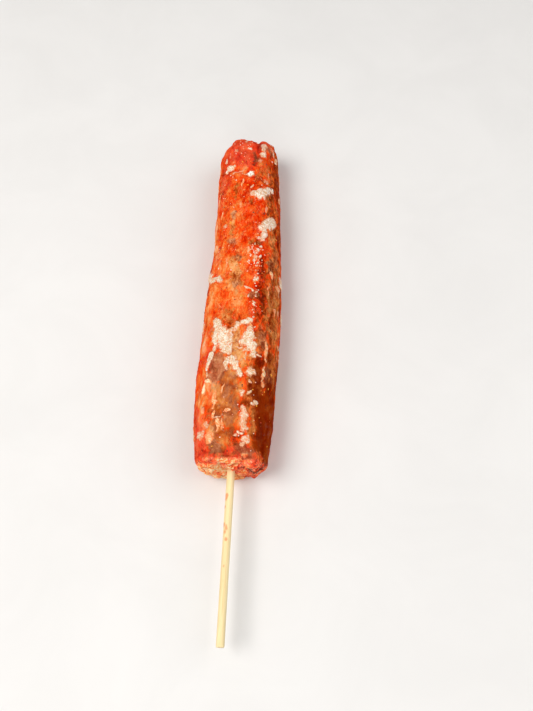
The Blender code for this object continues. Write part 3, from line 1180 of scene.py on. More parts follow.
@dataclass
class PressedMince:
    """The meat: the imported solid's form fused with a torn end's lobes and strands, and carved."""

    name: str = "pressed_mince"
    voxel: float = 0.00047
    bore_reach: float = 0.0021
    weld: float = 1e-6
    easing_rounds: int = 26
    last_rounds: int = 3
    last_share: float = 0.4
    seed: int = 41
    ball_cuts: int = 2
    end_reach: float = 12.0
    end_outline: Span = (12.6, 11.2)
    small_ball: float = 1.3
    filler_lumps: int = 40
    filler_spread: Span = (0.06, 0.80)
    filler_radius: Span = (0.8, 1.5)
    filler_out: Span = (0.1, 1.2)
    buds: int = 3
    bud_reach: Span = (0.55, 0.8)
    bud_size: Span = (0.45, 0.65)
    strands: int = 70
    strand_spread: Span = (0.08, 0.86)
    strand_radius: Span = (0.45, 0.80)
    strand_out: Span = (0.2, 1.5)
    strand_beads: tuple[int, int] = (5, 12)
    bead_size: Span = (0.85, 1.15)
    bead_rise: Span = (-0.25, 0.35)
    bead_step: float = 0.8
    knob_sunk: float = 0.45
    chance_knobs: int = 16
    chance_knob: tuple[Span, ...] = ((143.0, 150.5), (0.0, 180.0), (1.0, 1.9), (0.70, 0.85))
    tip_band: Span = (134.0, 146.0)
    coarse_reliefs: int = 1
    layout: Layout = field(init=False)
    skin: MeatSurface = field(init=False)
    fold_wander: float = 0.8
    finish: MinceFinish = MinceFinish()
    knobs: tuple[Row, ...] = (
        (149, 26, 2.4), (150, 38, 2.4), (149.8, 47, 1.4), (151, 76, 1.8), (150.4, 118, 2),
        (149.8, 132, 2.2),
    )
    reliefs: tuple[Relief, ...] = (
        Relief(ReliefKind.LUMPS, (7.0, 13.0, 7.0), 0.34, 1.0),
        Relief(ReliefKind.LUMPS, (3.2, 5.2, 3.2), 0.20, 2.0),
        Relief(ReliefKind.GRAINS, (2.3, 3.2, 2.3), 0.16, 3.0),
        Relief(ReliefKind.THREADS, (2.8, 7.0, 2.8), 0.10, 4.0),
        Relief(ReliefKind.LUMPS, (1.4, 1.9, 1.4), 0.09, 5.0),
        Relief(ReliefKind.PITS, (3.6, 4.4, 3.6), 0.30, 6.0),
    )
    folds: tuple[Fold, ...] = tuple(
        Fold(*row)
        for row in (
            (
                ((133.5, 160), (130.6, 141), (130.3, 117), (128.4, 100), (127.4, 84), (125.5, 56)),
                0.6, 1, -0.4,
            ),
            (((152, 60), (148, 62), (143, 67), (138, 71), (134, 74)), 0.7, 2.4, 0.3),
            (((140, 116), (136.8, 105), (134.8, 95), (131.8, 85), (130.8, 75)), 0.35, 0.8, 0.4),
            (((138.4, 64), (137.6, 52), (138.6, 38), (136.6, 26)), 0.4, 1.4, -0.3),
            (((146, 128), (141, 122), (136, 121)), 0.35, 0.8, 0.3),
            (((96, 57), (84, 58), (70, 58.5), (57, 59)), 0.15, 2.8, 0.1),
            (((32, 141), (29.6, 130), (31, 121)), 0.35, 0.8, -0.25),
            (((76.4, 146), (73.4, 128), (71.6, 114)), 0.3, 0.8, 0.25),
            (((3.6, 150), (2.8, 128), (3.2, 108), (2.6, 92)), 0.35, 1.4, -0.2),
            (((3.8, 78), (3, 66), (4.6, 52), (4, 34)), 0.3, 1.4, -0.2),
            (((118, 44), (104, 26), (92, 46), (80, 32)), 0.25, 1.2),
            (((20, 128), (11, 118), (5, 122)), 0.3, 0.9),
        )
    )
    lumps: tuple[Lump, ...] = tuple(
        Lump(*row)
        for row in (
            (-11.6, 2.5, 2, 0.8, 0.66), (-10.5, 6, 2.1, 1, 0.7), (-8.6, 8.6, 2, 1.2, 0.46),
            (-6.2, 9.9, 1.8, 1, 0.66), (-3.9, 10.6, 1.6, 0.8, 0.7), (-1.6, 10.2, 1.8, 1.4, 0.36),
            (0.6, 10.4, 1.6, 1.1, 0.42), (2.8, 10, 1.8, 1.4, 0.34), (4.7, 9.4, 1.3, 0.9, 0.52),
            (7.8, 8, 3.2, 2.4, 0.58), (9.8, 5.6, 2.8, 2, 0.6), (7.4, 4.2, 2.6, 1.7, 0.66),
            (11.2, 2.4, 2.2, 0.9, 0.86), (-9.6, 3.4, 2.8, 1.9, 0.05), (-6.6, 4.4, 2.2, 1.9, 0.3),
            (-8.4, -0.6, 2.8, 2.2, 0.1), (-5, 0.2, 2, 1.6, 0.16), (-10.6, -3, 2.3, 1, 0.26),
            (-6, -5.4, 2.5, 1.3, 0.08), (-9, -6.6, 2.3, 0.8, 0.28), (-3.2, 4.4, 1.6, 1.3, 0.03),
            (-0.7, 5, 1.3, 1, 0.1), (2.1, 5, 1.4, 1, 0.04), (4.3, 4.4, 1.4, 1, 0.03),
            # Tints near 1 on the lobes below and right of the stick read the torn colours' darkest stop:
            # painted shade in the gap there.
            (4.4, -2, 2.2, 0.1, 0.98), (8.4, -1.6, 2.6, 0.5, 0.92), (6.6, -5.8, 2.5, 0.4, 0.8),
            (2, -5.4, 2, 0.3, 0.94), (-2.2, -5.8, 2.1, 0.6, 0.16), (0, -9, 2.2, 0.4, 0.5),
        )
    )

    def closed_copy(self) -> Piece:
        """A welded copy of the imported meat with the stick's bore filled in.

        Returns:
            The copy, linked to the scene.
        """
        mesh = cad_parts["meat"].data.copy()
        mesh.materials.clear()
        shape = bmesh.new()
        shape.from_mesh(mesh)
        bmesh.ops.remove_doubles(shape, verts=shape.verts, dist=self.weld)
        bore = [face for face in shape.faces if all(self.in_bore(vertex.co) for vertex in face.verts)]
        bmesh.ops.delete(shape, geom=bore, context="FACES")
        bmesh.ops.holes_fill(shape, edges=[edge for edge in shape.edges if edge.is_boundary])
        loose = [vertex for vertex in shape.verts if not vertex.link_faces]
        bmesh.ops.delete(shape, geom=loose, context="VERTS")
        shape.to_mesh(mesh)
        shape.free()
        return link(self.name, mesh)

    def in_bore(self, point: Vector) -> bool:
        """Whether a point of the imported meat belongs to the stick's bore."""
        return math.hypot(*self.layout.from_axis(point)) < self.bore_reach

    def end_point(self, across: float, up: float) -> Vector:
        """A place on the torn end, in mm from the stick's middle."""
        layout = self.layout
        return Vector((layout.axis_x + across * MM, layout.near_end, layout.axis_z + up * MM))

    def chance_place(self, rng: Chance, spread: Span) -> Span:
        """A chance place on the torn end, in mm from the stick's middle, inside a span of its area."""
        turn, share = rng.uniform(0.0, math.tau), math.sqrt(rng.uniform(*spread))
        return math.cos(turn) * share * self.end_reach, math.sin(turn) * share * self.end_reach

    def chance_tint(self, across: float, up: float, rng: Chance) -> float:
        """A strand's tint, redder and darker to the right of the stick and at the upper left rim.

        Args:
            across: mm to the right of the stick's middle.
            up: mm above it.
            rng: the source of chance.

        Returns:
            The tint, from 0 for the palest to 0.9.
        """
        right = min(max((across - 2.0) / 4.0, 0.0), 1.0)
        rim = min(max((up - 6.0) / 2.0, 0.0), 1.0) * min(max((-1.5 - across) / 2.0, 0.0), 1.0)
        middle, spread = 0.24 + 0.38 * right + 0.36 * rim, 0.20 - 0.08 * rim
        return float(np.clip(rng.normal(middle, spread), 0.0, 0.9))

    def lump_balls(self, lump: Lump, rng: Chance) -> Balls:
        """The balls that one lobe is made of: a main one and its buds.

        Args:
            lump: the lobe.
            rng: the source of chance.

        Returns:
            Each ball's middle and radius.
        """
        radius = lump.radius * MM
        middle = self.end_point(lump.across, lump.up)
        middle.y += radius - lump.out * MM
        balls = [(middle, radius)]
        for _ in range(self.buds):
            step = Vector(rng.normal(size=3))
            step = step.normalized() * radius * rng.uniform(*self.bud_reach)
            balls.append((middle + step, radius * rng.uniform(*self.bud_size)))
        return balls

    def filler(self, rng: Chance) -> list[Lump]:
        """The small lobes that fill the torn face between the main ones.

        Args:
            rng: the source of chance.

        Returns:
            The lobes.
        """
        lumps = []
        for _ in range(self.filler_lumps):
            across, up = self.chance_place(rng, self.filler_spread)
            radius, out = rng.uniform(*self.filler_radius), rng.uniform(*self.filler_out)
            lumps.append(Lump(across, up, radius, out, self.chance_tint(across, up, rng)))
        return lumps

    def strand_balls(self, rng: Chance) -> Balls:
        """The beads of one short strand of mince that curls over the torn end.

        Args:
            rng: the source of chance.

        Returns:
            Each bead's middle and radius.
        """
        spot = self.end_point(*self.chance_place(rng, self.strand_spread))
        radius = rng.uniform(*self.strand_radius) * MM
        spot.y -= rng.uniform(*self.strand_out) * MM
        heading, bend = rng.uniform(0.0, math.tau), rng.normal(0.0, 0.22)
        balls = []
        for _ in range(int(rng.integers(*self.strand_beads))):
            balls.append((spot.copy(), radius * rng.uniform(*self.bead_size)))
            way = Vector((math.cos(heading), rng.uniform(*self.bead_rise), math.sin(heading)))
            spot += way * radius * self.bead_step
            heading += bend + rng.normal(0.0, 0.15)
        return balls

    def fits_end(self, middle: Vector, radius: float) -> bool:
        """Whether a ball stays clear of the stick and, if it is small, inside the end's outline.

        Args:
            middle: the ball's middle.
            radius: its radius.

        Returns:
            Whether it does.
        """
        across, up = self.layout.from_axis(middle)
        wide, high = self.end_outline
        inside = math.hypot(across / (wide * MM - radius), up / (high * MM - radius)) < 1.0
        clear = math.hypot(across, up) - 0.8 * radius > self.layout.radius
        return clear and (inside or radius > self.small_ball * MM)

    def torn_groups(self, rng: Chance) -> list[tuple[Balls, float]]:
        """The lobes and strands of the torn end.

        Args:
            rng: the source of chance.

        Returns:
            Each one's balls and tint.
        """
        lumps = list(self.lumps) + self.filler(rng)
        groups = [(self.lump_balls(lump, rng), lump.tint) for lump in lumps]
        for _ in range(self.strands):
            balls = self.strand_balls(rng)
            across, up = self.layout.from_axis(balls[0][0])
            groups.append((balls, self.chance_tint(across / MM, up / MM, rng)))
        return groups

    def add_lumps(self, piece: Piece) -> tuple[list[Vector], list[float]]:
        """Joins the lobes and strands to the torn end, and the knobs to the far end.

        Args:
            piece: the meat's closed copy.

        Returns:
            The middles of the torn end's balls, and their tints.
        """
        rng = np.random.default_rng(self.seed)
        points, faces = ball(self.ball_cuts)
        stack = MeshStack()
        middles: list[Vector] = []
        tints: list[float] = []
        for balls, tint in self.torn_groups(rng):
            for middle, radius in balls:
                if self.fits_end(middle, radius):
                    stack.add(points * radius + np.array(middle), faces)
                    middles.append(middle)
                    tints.append(tint)
        knobs = [(*row, self.knob_sunk) for row in self.knobs]
        for _ in range(self.chance_knobs):
            knobs.append(tuple(rng.uniform(*span) for span in self.chance_knob))
        for along, angle, radius, sunk in knobs:
            found = self.skin.read(along, angle)
            if found:
                stack.add(points * radius * MM + np.array(found[0] - found[1] * radius * MM * sunk), faces)
        lobes = stack.piece("lobes")
        with bpy.context.temp_override(active_object=piece, selected_editable_objects=[piece, lobes]):
            bpy.ops.object.join()
        return middles, tints

    def remesh(self, piece: Piece) -> None:
        """Fuses the joined shells into one closed skin of small, even faces.

        Args:
            piece: the meat.
        """
        maker = piece.modifiers.new("fuse", "REMESH")
        maker.mode = "VOXEL"
        maker.voxel_size = self.voxel
        graph = bpy.context.evaluated_depsgraph_get()
        fused = bpy.data.meshes.new_from_object(piece.evaluated_get(graph))
        piece.modifiers.clear()
        old, piece.data = piece.data, fused
        bpy.data.meshes.remove(old)
        fused.name = self.name
        fused.shade_smooth()

    def torn_share(self, points: Array, normals: Array) -> Array:
        """How much each point belongs to the torn face at the stick's end.

        Args:
            points: the skin's points.
            normals: their normals.

        Returns:
            One value a point, from 0 to 1.
        """
        before = -self.layout.places(points)[0]
        facing = smooth_step(-normals[:, 1], 0.25, 0.65)
        return np.clip(facing * smooth_step(before, -7.0, -3.5) + smooth_step(before, -0.6, 0.6), 0.0, 1.0)

    def ease(self, piece: Piece) -> None:
        """Smooths the skin, and its two ends less.

        Args:
            piece: the meat.
        """
        mesh = piece.data
        points = mesh_points(mesh)
        edges = np.empty(len(mesh.edges) * 2, np.int64)
        mesh.edges.foreach_get("vertices", edges)
        edges = edges.reshape(-1, 2)
        along = self.layout.places(points)[0]
        sides = smooth_step(along, 1.0, 5.0) * (1.0 - 0.92 * smooth_step(along, 136.0, 144.0))
        points = relax(points, edges, self.easing_rounds, 0.5 * sides)
        points = relax(points, edges, self.last_rounds, np.full(len(points), self.last_share))
        move_points(mesh, points)

    def fold_lift(self, points: Array) -> Array:
        """How far the folds lift each point of the skin.

        Args:
            points: one row each.

        Returns:
            One value a point, in metres.
        """
        along, angle = self.layout.places(points)
        along = along + noise_at(points, 0.003, 12.0) * self.fold_wander
        across = angle * ARC_MM + noise_at(points, 0.003, 14.0) * self.fold_wander
        return sum(fold.lift(along, across) for fold in self.folds) * MM

    def carve(self, piece: Piece) -> None:
        """Lifts and sinks the skin by its relief, keeps it on the surface that it rests on, and marks its
        crests for painted light and its hollows and fold grooves for painted shade.

        Args:
            piece: the meat.
        """
        mesh = piece.data
        points, normals = mesh_points(mesh), mesh_normals(mesh)
        torn = self.torn_share(points, normals)
        tip = smooth_step(self.layout.places(points)[0], *self.tip_band)
        under = smooth_step(-normals[:, 2], 0.5, 0.9)
        strength = (1.0 + 0.5 * tip + 0.8 * torn) * (1.0 - 0.6 * under)
        layers = [relief.read(points) for relief in self.reliefs]
        fine = sum(layers[self.coarse_reliefs :])
        folds = self.fold_lift(points) * (1.0 - torn)
        # A mark for painted light and shade: high on raised relief, low in hollows and fold grooves.
        relief_light_and_shade = 0.5 + 0.15 * (fine - fine.mean()) / fine.std() + folds / (0.9 * MM)
        paint(mesh, "relief_light_and_shade", np.clip(relief_light_and_shade, 0.0, 1.0))
        points = points + normals * (sum(layers) * strength + folds)[:, None]
        points[:, 2] = np.maximum(points[:, 2], 0.0)
        move_points(mesh, points)

    def mark(self, piece: Piece, middles: Sequence[Vector], tints: Sequence[float]) -> None:
        """Paints the marks that the finish reads: the torn face and its strands.

        Args:
            piece: the meat.
            middles: the torn end's ball middles.
            tints: theirs.
        """
        mesh = piece.data
        points = mesh_points(mesh)
        tree = KDTree(len(middles))
        for number, middle in enumerate(middles):
            tree.insert(middle, number)
        tree.balance()
        torn = self.torn_share(points, mesh_normals(mesh))
        own = np.zeros(len(points))
        for number in np.nonzero(torn > 0.001)[0]:
            own[number] = tints[tree.find(Vector(points[number]))[1]]
        paint(mesh, "torn_face", torn)
        paint(mesh, "strand_tint", own)

    def build(self, layout: Layout, tones: ToneMap, effects: Effects) -> Piece:
        """Makes and dresses the meat.

        Args:
            layout: where the solids stand.
            tones: the skin's zones.
            effects: the node groups.

        Returns:
            The piece.
        """
        self.layout = layout
        piece = self.closed_copy()
        self.skin = MeatSurface(piece, layout)
        middles, tints = self.add_lumps(piece)
        self.remesh(piece)
        self.ease(piece)
        self.carve(piece)
        self.mark(piece, middles, tints)
        tones.paint_on(piece.data)
        piece.data.materials.append(self.finish.build(effects))
        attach(piece, BODY)
        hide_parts("meat")
        return piece


# ---- crusts on the meat


@dataclass(frozen=True)
class Lobe:
    """One lobe of a crust: its middle, its length and width in mm, its weight, its turn in degrees."""

    along: float
    angle: float
    length: float
    width: float
    weight: float = 1.0
    turn: float = 0.0

    def cover(self, along: Array, across: Array) -> Array:
        """How far inside the lobe places are.

        Args:
            along: mm along the meat.
            across: mm round it.

        Returns:
            1 at the lobe's middle, 0 at its edge, and less outside.
        """
        down, side = along - self.along, across - self.angle * ARC_MM
        turn = math.radians(self.turn)
        first = (down * math.cos(turn) + side * math.sin(turn)) / (0.5 * self.length)
        second = (side * math.cos(turn) - down * math.sin(turn)) / (0.5 * self.width)
        return 1.0 - np.hypot(first, second)


Patch = tuple[Lobe, ...]


def corners(grid: Array) -> tuple[Array, ...]:
    """What a grid holds at the four corners of each of its cells, in turn."""
    return grid[:-1, :-1], grid[:-1, 1:], grid[1:, 1:], grid[1:, :-1]


@dataclass
class CrustGrid:
    """A patch's places: mm along and round the meat, its cover and weight there, the skin and its normal."""

    shift: float
    along: Array
    across: Array
    cover: Array
    weight: Array
    points: Array
    out: Array

    def only(self, used: Array) -> "CrustGrid":
        """The grid with only its used places."""
        parts = (self.along, self.across, self.cover, self.weight, self.points, self.out)
        return CrustGrid(self.shift, *(part[used] for part in parts))

    def rows(self) -> Array:
        """The places as rows of three numbers, for a noise."""
        return np.stack((self.along, self.across, np.full(len(self.along), self.shift)), axis=1)

    def noise(self, size: float, shift: float) -> Array:
        """Smooth noise at each place, in lumps of a size in mm."""
        return noise_at(self.rows(), (size, size, 1.0), shift)

    def ridges(self, size: float, shift: float) -> Array:
        """Raised threads at each place, in lumps of a size in mm."""
        return ridges_at(self.rows(), (size, size, 1.0), shift)


@dataclass
class SurfaceCrust:
    """Thin patches that lie on the meat and dip into it at their edges, as one piece of closed shells."""

    name: str
    finish: CrustFinish
    patches: tuple[Patch, ...]
    thickness: float
    relief: float
    step: float = 0.22
    ragged: float = 0.55
    blending: float = 5.0
    wander: float = 0.9
    swirl_turns: float = 3.4
    sink: float = 0.0003
    margin: float = 1.1
    skirt: float = 0.32
    patch_shift: float = 1.37
    base_gap: float = 0.00012
    lowest_top: float = 0.00006
    lowest_base: float = 0.00002
    inside_band: Span = (-0.06, 0.32)
    edge_band: Span = (-0.40, 0.05)
    thread_band: Span = (0.35, 0.90)
    rime_band: Span = (76.0, 94.0)

    def spread(self, patch: Patch) -> tuple[Array, Array]:
        """The rows and columns of places that a patch may reach.

        Args:
            patch: the patch's lobes.

        Returns:
            The rows' mm along the meat, and the columns' mm round it.
        """
        reach = [0.5 * math.hypot(lobe.length, lobe.width) + self.margin for lobe in patch]
        runs = []
        for middles in ([lobe.along for lobe in patch], [lobe.angle * ARC_MM for lobe in patch]):
            low = min(middle - r for middle, r in zip(middles, reach))
            high = max(middle + r for middle, r in zip(middles, reach))
            runs.append(np.arange(low, high, self.step))
        return runs[0], runs[1]

    def read_cover(self, grid: CrustGrid, patch: Patch) -> None:
        """Reads how a patch covers its grid, with lobes that run together and a ragged edge.

        Args:
            grid: the patch's places.
            patch: the patch's lobes.
        """
        along = grid.along + grid.noise(2.2, 13.0) * self.wander
        across = grid.across + grid.noise(2.2, 17.0) * self.wander
        owns = np.stack([lobe.cover(along, across) for lobe in patch])
        pulls = np.exp(np.clip(owns * self.blending, -40.0, 40.0))
        cover = np.log(pulls.sum(axis=0)) / self.blending
        weights = np.array([lobe.weight for lobe in patch])
        grid.weight = (pulls * weights[:, None]).sum(axis=0) / pulls.sum(axis=0)
        grid.cover = cover + self.ragged * (0.7 * grid.noise(1.5, 3.0) + 0.4 * grid.noise(0.6, 5.0))

    def shell(self, surface: MeatSurface, patch: Patch, shift: float, stack: MeshStack) -> None:
        """Adds one patch's closed shell to a stack.

        Args:
            surface: the meat's skin.
            patch: the patch's lobes.
            shift: the patch's own shift.
            stack: where the shell goes.
        """
        rows, columns = self.spread(patch)
        along, across = (side.ravel() for side in np.meshgrid(rows, columns, indexing="ij"))
        nothing, nowhere = np.zeros(len(along)), np.zeros((len(along), 3))
        grid = CrustGrid(shift, along, across, nothing, nothing, nowhere, nowhere.copy())
        self.read_cover(grid, patch)
        wanted = grid.cover > -self.skirt
        for number in np.nonzero(wanted)[0]:
            found = surface.read(grid.along[number], grid.across[number] / ARC_MM)
            if found is None:
                wanted[number] = False
            else:
                grid.points[number], grid.out[number] = found
        shape = (len(rows), len(columns))
        cells = np.logical_and.reduce(corners(wanted.reshape(shape)))
        quads = np.stack(corners(np.arange(len(along)).reshape(shape)), axis=-1)[cells]
        if len(quads):
            used, faces = np.unique(quads, return_inverse=True)
            self.close(grid.only(used), faces.reshape(-1, 4), stack)

    def close(self, grid: CrustGrid, faces: Array, stack: MeshStack) -> None:
        """Lifts a patch's top, sinks its underside and joins them at the rim.

        Args:
            grid: the patch's places.
            faces: the patch's faces.
            stack: where the shell goes.
        """
        edges = np.concatenate([faces[:, [i, (i + 1) % 4]] for i in range(4)])
        count = len(grid.along)
        out = relax(grid.out, edges, 4, np.full(count, 0.6))
        out /= np.maximum(np.linalg.norm(out, axis=1), 1e-9)[:, None]
        curls = np.cos(grid.noise(2.6, 7.0) * self.swirl_turns * math.tau + grid.cover * 6.0)
        inside, edge = smooth_step(grid.cover, *self.inside_band), smooth_step(grid.cover, *self.edge_band)
        threads, grain = grid.ridges(0.95, 11.0), grid.noise(0.45, 9.0)
        rise = self.thickness * grid.weight * (0.35 * edge + 0.65 * inside)
        rise += self.relief * inside * (0.5 * curls + 1.2 * threads + 0.5 * grain)
        top = grid.points + out * (rise - self.sink * (1.0 - edge))[:, None]
        base = grid.points - out * (self.sink + self.base_gap)
        top[:, 2] = np.maximum(top[:, 2], self.lowest_top)
        base[:, 2] = np.maximum(base[:, 2], self.lowest_base)
        directed = {tuple(pair) for pair in edges.tolist()}
        rim = sorted((a, b) for a, b in directed if (b, a) not in directed)
        walls = np.array([(b, a, a + count, b + count) for a, b in rim])
        under = faces[:, ::-1] + count
        tops = {
            "thickness": np.maximum(inside * grid.weight * (0.62 + 0.16 * curls + 0.30 * threads), 0.0),
            "swirl": smooth_step(threads, *self.thread_band) * inside * np.minimum(grid.weight, 1.0),
            "rime": smooth_step(grid.along, *self.rime_band),
        }
        marks = {name: np.concatenate((values, np.zeros(count))) for name, values in tops.items()}
        stack.add(np.concatenate((top, base)), np.concatenate((faces, walls, under)), **marks)

    def build(self, surface: MeatSurface, tones: ToneMap, effects: Effects) -> Piece:
        """Makes and dresses the crust.

        Args:
            surface: the meat's skin.
            tones: the skin's zones, which show through.
            effects: the node groups.

        Returns:
            The piece.
        """
        stack = MeshStack()
        for number, patch in enumerate(self.patches):
            self.shell(surface, patch, self.patch_shift * number, stack)
        piece = stack.piece(self.name)
        tones.paint_on(piece.data)
        # The crusts take the middle of the painted light and shade mark.
        paint(piece.data, "relief_light_and_shade", np.full(stack.count, 0.5))
        piece.data.materials.append(self.finish.build(effects))
        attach(piece, BODY)
        return piece


FROST_SEED, FAT_SEED = 19, 23
CHANCE_FROST, LOWER_FAT, UPPER_FAT = 34, 40, 8  # how many patches lie by chance

# A patch is a row of lobes, and a lobe its place along and round, its length, width, weight and turn.
PLACED_FROST: tuple[tuple[Row, ...], ...] = (
    ((131.3, 137, 2, 2.6, 1, 12), (132.3, 128, 3.6, 4), (132.4, 121, 2.6, 2.4)),
    ((129.6, 108, 0.9, 7, 0.45, 14), (128.3, 95, 0.9, 3, 0.5)),
    # Weight 1.9 paints this spot near white: a painted highlight.
    ((128, 84, 3.8, 2.8, 1.9), (128.2, 79.5, 2.8, 2.2, 1.9)),
    (
        # Weights above 1 paint this patch paler: painted light for the dimmer right facet.
        (117.6, 77, 2.6, 3, 0.8, 6), (117.2, 70, 4.4, 3.8, 1.2), (117.6, 62, 5.6, 4.2, 1.25),
        (119.2, 56, 5, 3.6, 1.25), (120.6, 49, 4.2, 3.6, 1.25), (121.5, 42, 3, 3.2, 1.2),
        (122.4, 37, 2, 1.8, 1.2), (125.4, 51, 2.6, 3, 0.35),
    ),
    ((121.2, 79, 1.6, 1.3, 0.5),),
    (
        (105.4, 31, 2.6, 2.8, 1, 8), (105.2, 37, 4.6, 3.6), (104.2, 43, 5.4, 3.8),
        (102.6, 49, 6, 3.6), (100.6, 54, 5.4, 3.2), (99.8, 60, 2.4, 3, 0.8), (97.4, 53.5, 3.6, 2.4),
        (95.6, 57, 2.2, 2.4, 0.8), (94.8, 62, 1.6, 2.2, 0.7),
    ),
    ((101.6, 128, 2.2, 2.2, 0.55),), ((74.8, 65.5, 3, 1.5),),
    ((71, 80, 1, 2.4), (70.2, 74, 1, 2.6), (69.6, 69.5, 1.4, 1.4)),
    (
        (75.4, 131, 2.8, 3.2), (74.2, 125.5, 2.2, 2), (76, 139, 2, 4, 1, 6),
        (76.8, 149, 2, 4.2, 1, 8), (78.6, 158, 2.8, 4.6, 1, 20), (80.6, 168, 3.4, 5.2, 1, 22),
        (82.2, 179, 2.4, 5.2, 1, 14),
    ),
    (
        (55.6, 128, 3.6, 3.2), (53.2, 126, 5, 4.6), (50.6, 122, 6, 6.6), (48.4, 116, 6.4, 7.2),
        (46, 110, 5.6, 6.6), (43.2, 106, 4.4, 5.2), (47.6, 128, 6, 1.8), (49.6, 103, 3, 3.4, 0.6),
        (51.8, 97, 2.2, 3.6, 0.7, 12), (53.6, 91, 2, 3.4, 0.8, 12),
    ),
    ((55.3, 73, 3, 3.6), (55, 81, 2.2, 3)),
    (
        (51, 71, 4, 3.2), (48.4, 71, 4.6, 5), (46.2, 73, 4.4, 6.2), (44.2, 66, 4, 3.4),
        (41.6, 64, 3.2, 2.6), (43.4, 73, 1.8, 4, 0.7),
    ),
    ((44, 87, 0.8, 4.2, 0.6, -8), (40.2, 74, 3.6, 0.9, 0.6)), ((38.8, 80, 0.9, 2.6, 0.6, 20),),
    ((41.3, 53, 0.8, 3.2, 0.6, -10),),
    (
        (39.6, 102, 2.4, 5, 0.8), (37.2, 106.5, 5, 2.6), (38.6, 96, 3.4, 4),
        (36.6, 90, 4.4, 3.4, 0.85), (34.2, 84, 3.6, 2.6), (32.4, 80, 1.8, 1.8),
    ),
    ((34, 65.5, 3.9, 3.7, 0.85),),
    (
        (43.6, 128, 2.8, 1.8), (41.2, 132.5, 3.8, 2.4, 1, 14), (38.2, 136, 4.6, 2, 1, 8),
        (35.8, 138, 2, 1.2),
    ),
    ((25.2, 76.5, 3, 2.4, 0.75),), ((21.2, 60.5, 1.6, 2.4, 1, -16), (22.4, 54, 1.4, 2.6, 1, -12)),
    (
        (19, 73, 2.6, 3.2, 0.65), (17.2, 71, 2.8, 3.2, 0.58), (15, 72, 2.8, 2.6, 0.7),
        (13.2, 72, 3, 3.2, 0.55), (11.2, 68, 2.8, 3, 0.6),
    ),
    ((9.6, 76, 1.1, 3, 0.8, -12), (8.9, 83, 1, 2.4, 0.6, -12)),
    ((7.4, 67, 2.6, 2.8, 0.52, 20), (5.4, 71, 2.4, 2.2, 0.4), (6.6, 62, 1.8, 2, 0.65)),
    ((12.8, 133, 2, 2.4, 0.45),), ((9.8, 150, 2.9, 4.4, 0.7), (9.8, 142, 2, 2.4, 0.5)),
    ((16, 114, 0.7, 6, 0.6, 10),),
    ((143.2, 58, 4.8, 3.2, 0.8), (140, 58, 2.8, 3.4), (146, 56, 2.8, 2.6, 0.6)),
    ((143.6, 34, 5.6, 1.1, 0.6, 30),), ((141, 26, 3, 2.4, 0.7),), ((141.5, 117, 1.6, 2, 0.5),),
    ((142.3, 89, 1.2, 2.8, 1, -14),), ((137.2, 139, 3, 1.4, 0.8, 10),), ((135.6, 68, 2, 1.6, 0.35),),
    ((148.2, 98, 2.4, 2.4, 0.3),),
)

FROST_DOTS: tuple[Row, ...] = (  # small round ones: their place along and round, and their size
    (91.6, 68.5, 1.1), (90.6, 61, 1.1), (88.8, 65, 1.5), (87, 68, 1), (85.5, 61, 1.4), (84, 71, 1),
    (82.4, 63, 1.3), (82.6, 69, 0.9), (80.4, 65, 1.2), (78.4, 64, 0.9), (89.4, 73, 0.8),
    (86.4, 76, 0.8), (84.6, 66, 0.9), (66.6, 76, 1.4), (68.6, 65.5, 1), (64, 66.5, 1.1),
    (62.4, 65.5, 1), (60, 66, 0.9), (57.2, 66, 0.9), (52.8, 63, 0.9), (33.2, 137, 1.4),
    (29.6, 66, 1.2), (25.4, 65, 1.6),
)

PLACED_FAT: tuple[tuple[Row, ...], ...] = (
    ((27.4, 142.5, 5, 2.4, 2), (30.4, 135, 1.6, 4, 1.8, -8)), ((22.4, 122, 6, 1.6, 1, -6),),
    ((27, 110.5, 5, 1.3, 1.3, -18),), ((12.6, 107, 6, 1.1, 0.6, 6),), ((7.8, 128, 4.6, 3.4, 0.8),),
    ((18.4, 99, 1.2, 3, 1, 10),),
    ((44, 42, 8, 1.4, 1.2, 2), (34.5, 45, 6.5, 1.6, 1.4, -4), (29.4, 45.5, 2.4, 2, 0.9)),
    ((78.6, 37.5, 3.6, 1.7, 1.2, 20),), ((71.5, 43, 7, 1.1, 0.6, -6),), ((75.2, 18.5, 3.2, 3),),
    ((62.8, 26, 4, 1.4, 0.6),), ((92.4, 150, 3, 4, 1, 20),), ((101.5, 163, 10, 3, 0.8, -14),),
    ((48, 154, 4.8, 2.6, 0.8, 10),), ((82, 119, 7, 1, 0.6),), ((112, 101, 3.2, 1.1, 0.7),),
)


def placed_patches(rows: Sequence[Sequence[Row]]) -> tuple[Patch, ...]:
    """Patches from the rows of their lobes."""
    return tuple(tuple(Lobe(*row) for row in patch) for patch in rows)


def frost_patches() -> tuple[Patch, ...]:
    """The frost: patches placed on the upper side, and chance ones round the rest.

    Returns:
        The patches.
    """
    placed = placed_patches(PLACED_FROST)
    placed += tuple((Lobe(along, angle, size * 1.15, size, 0.9),) for along, angle, size in FROST_DOTS)
    rng = np.random.default_rng(FROST_SEED)
    chance: list[Patch] = []
    for _ in range(CHANCE_FROST):
        along, angle = rng.uniform(6.0, 141.0), rng.uniform(172.0, 368.0)
        lobes = []
        for number in range(int(rng.integers(1, 6))):
            shift = rng.normal(0.0, 2.2, 2) * (number > 0)
            size = rng.uniform(1.2, 5.0, 2)
            turn = rng.uniform(-40.0, 40.0)
            lobes.append(Lobe(along + shift[0], angle + shift[1] / ARC_MM, size[0], size[1], turn=turn))
        chance.append(tuple(lobes))
    return placed + tuple(chance)


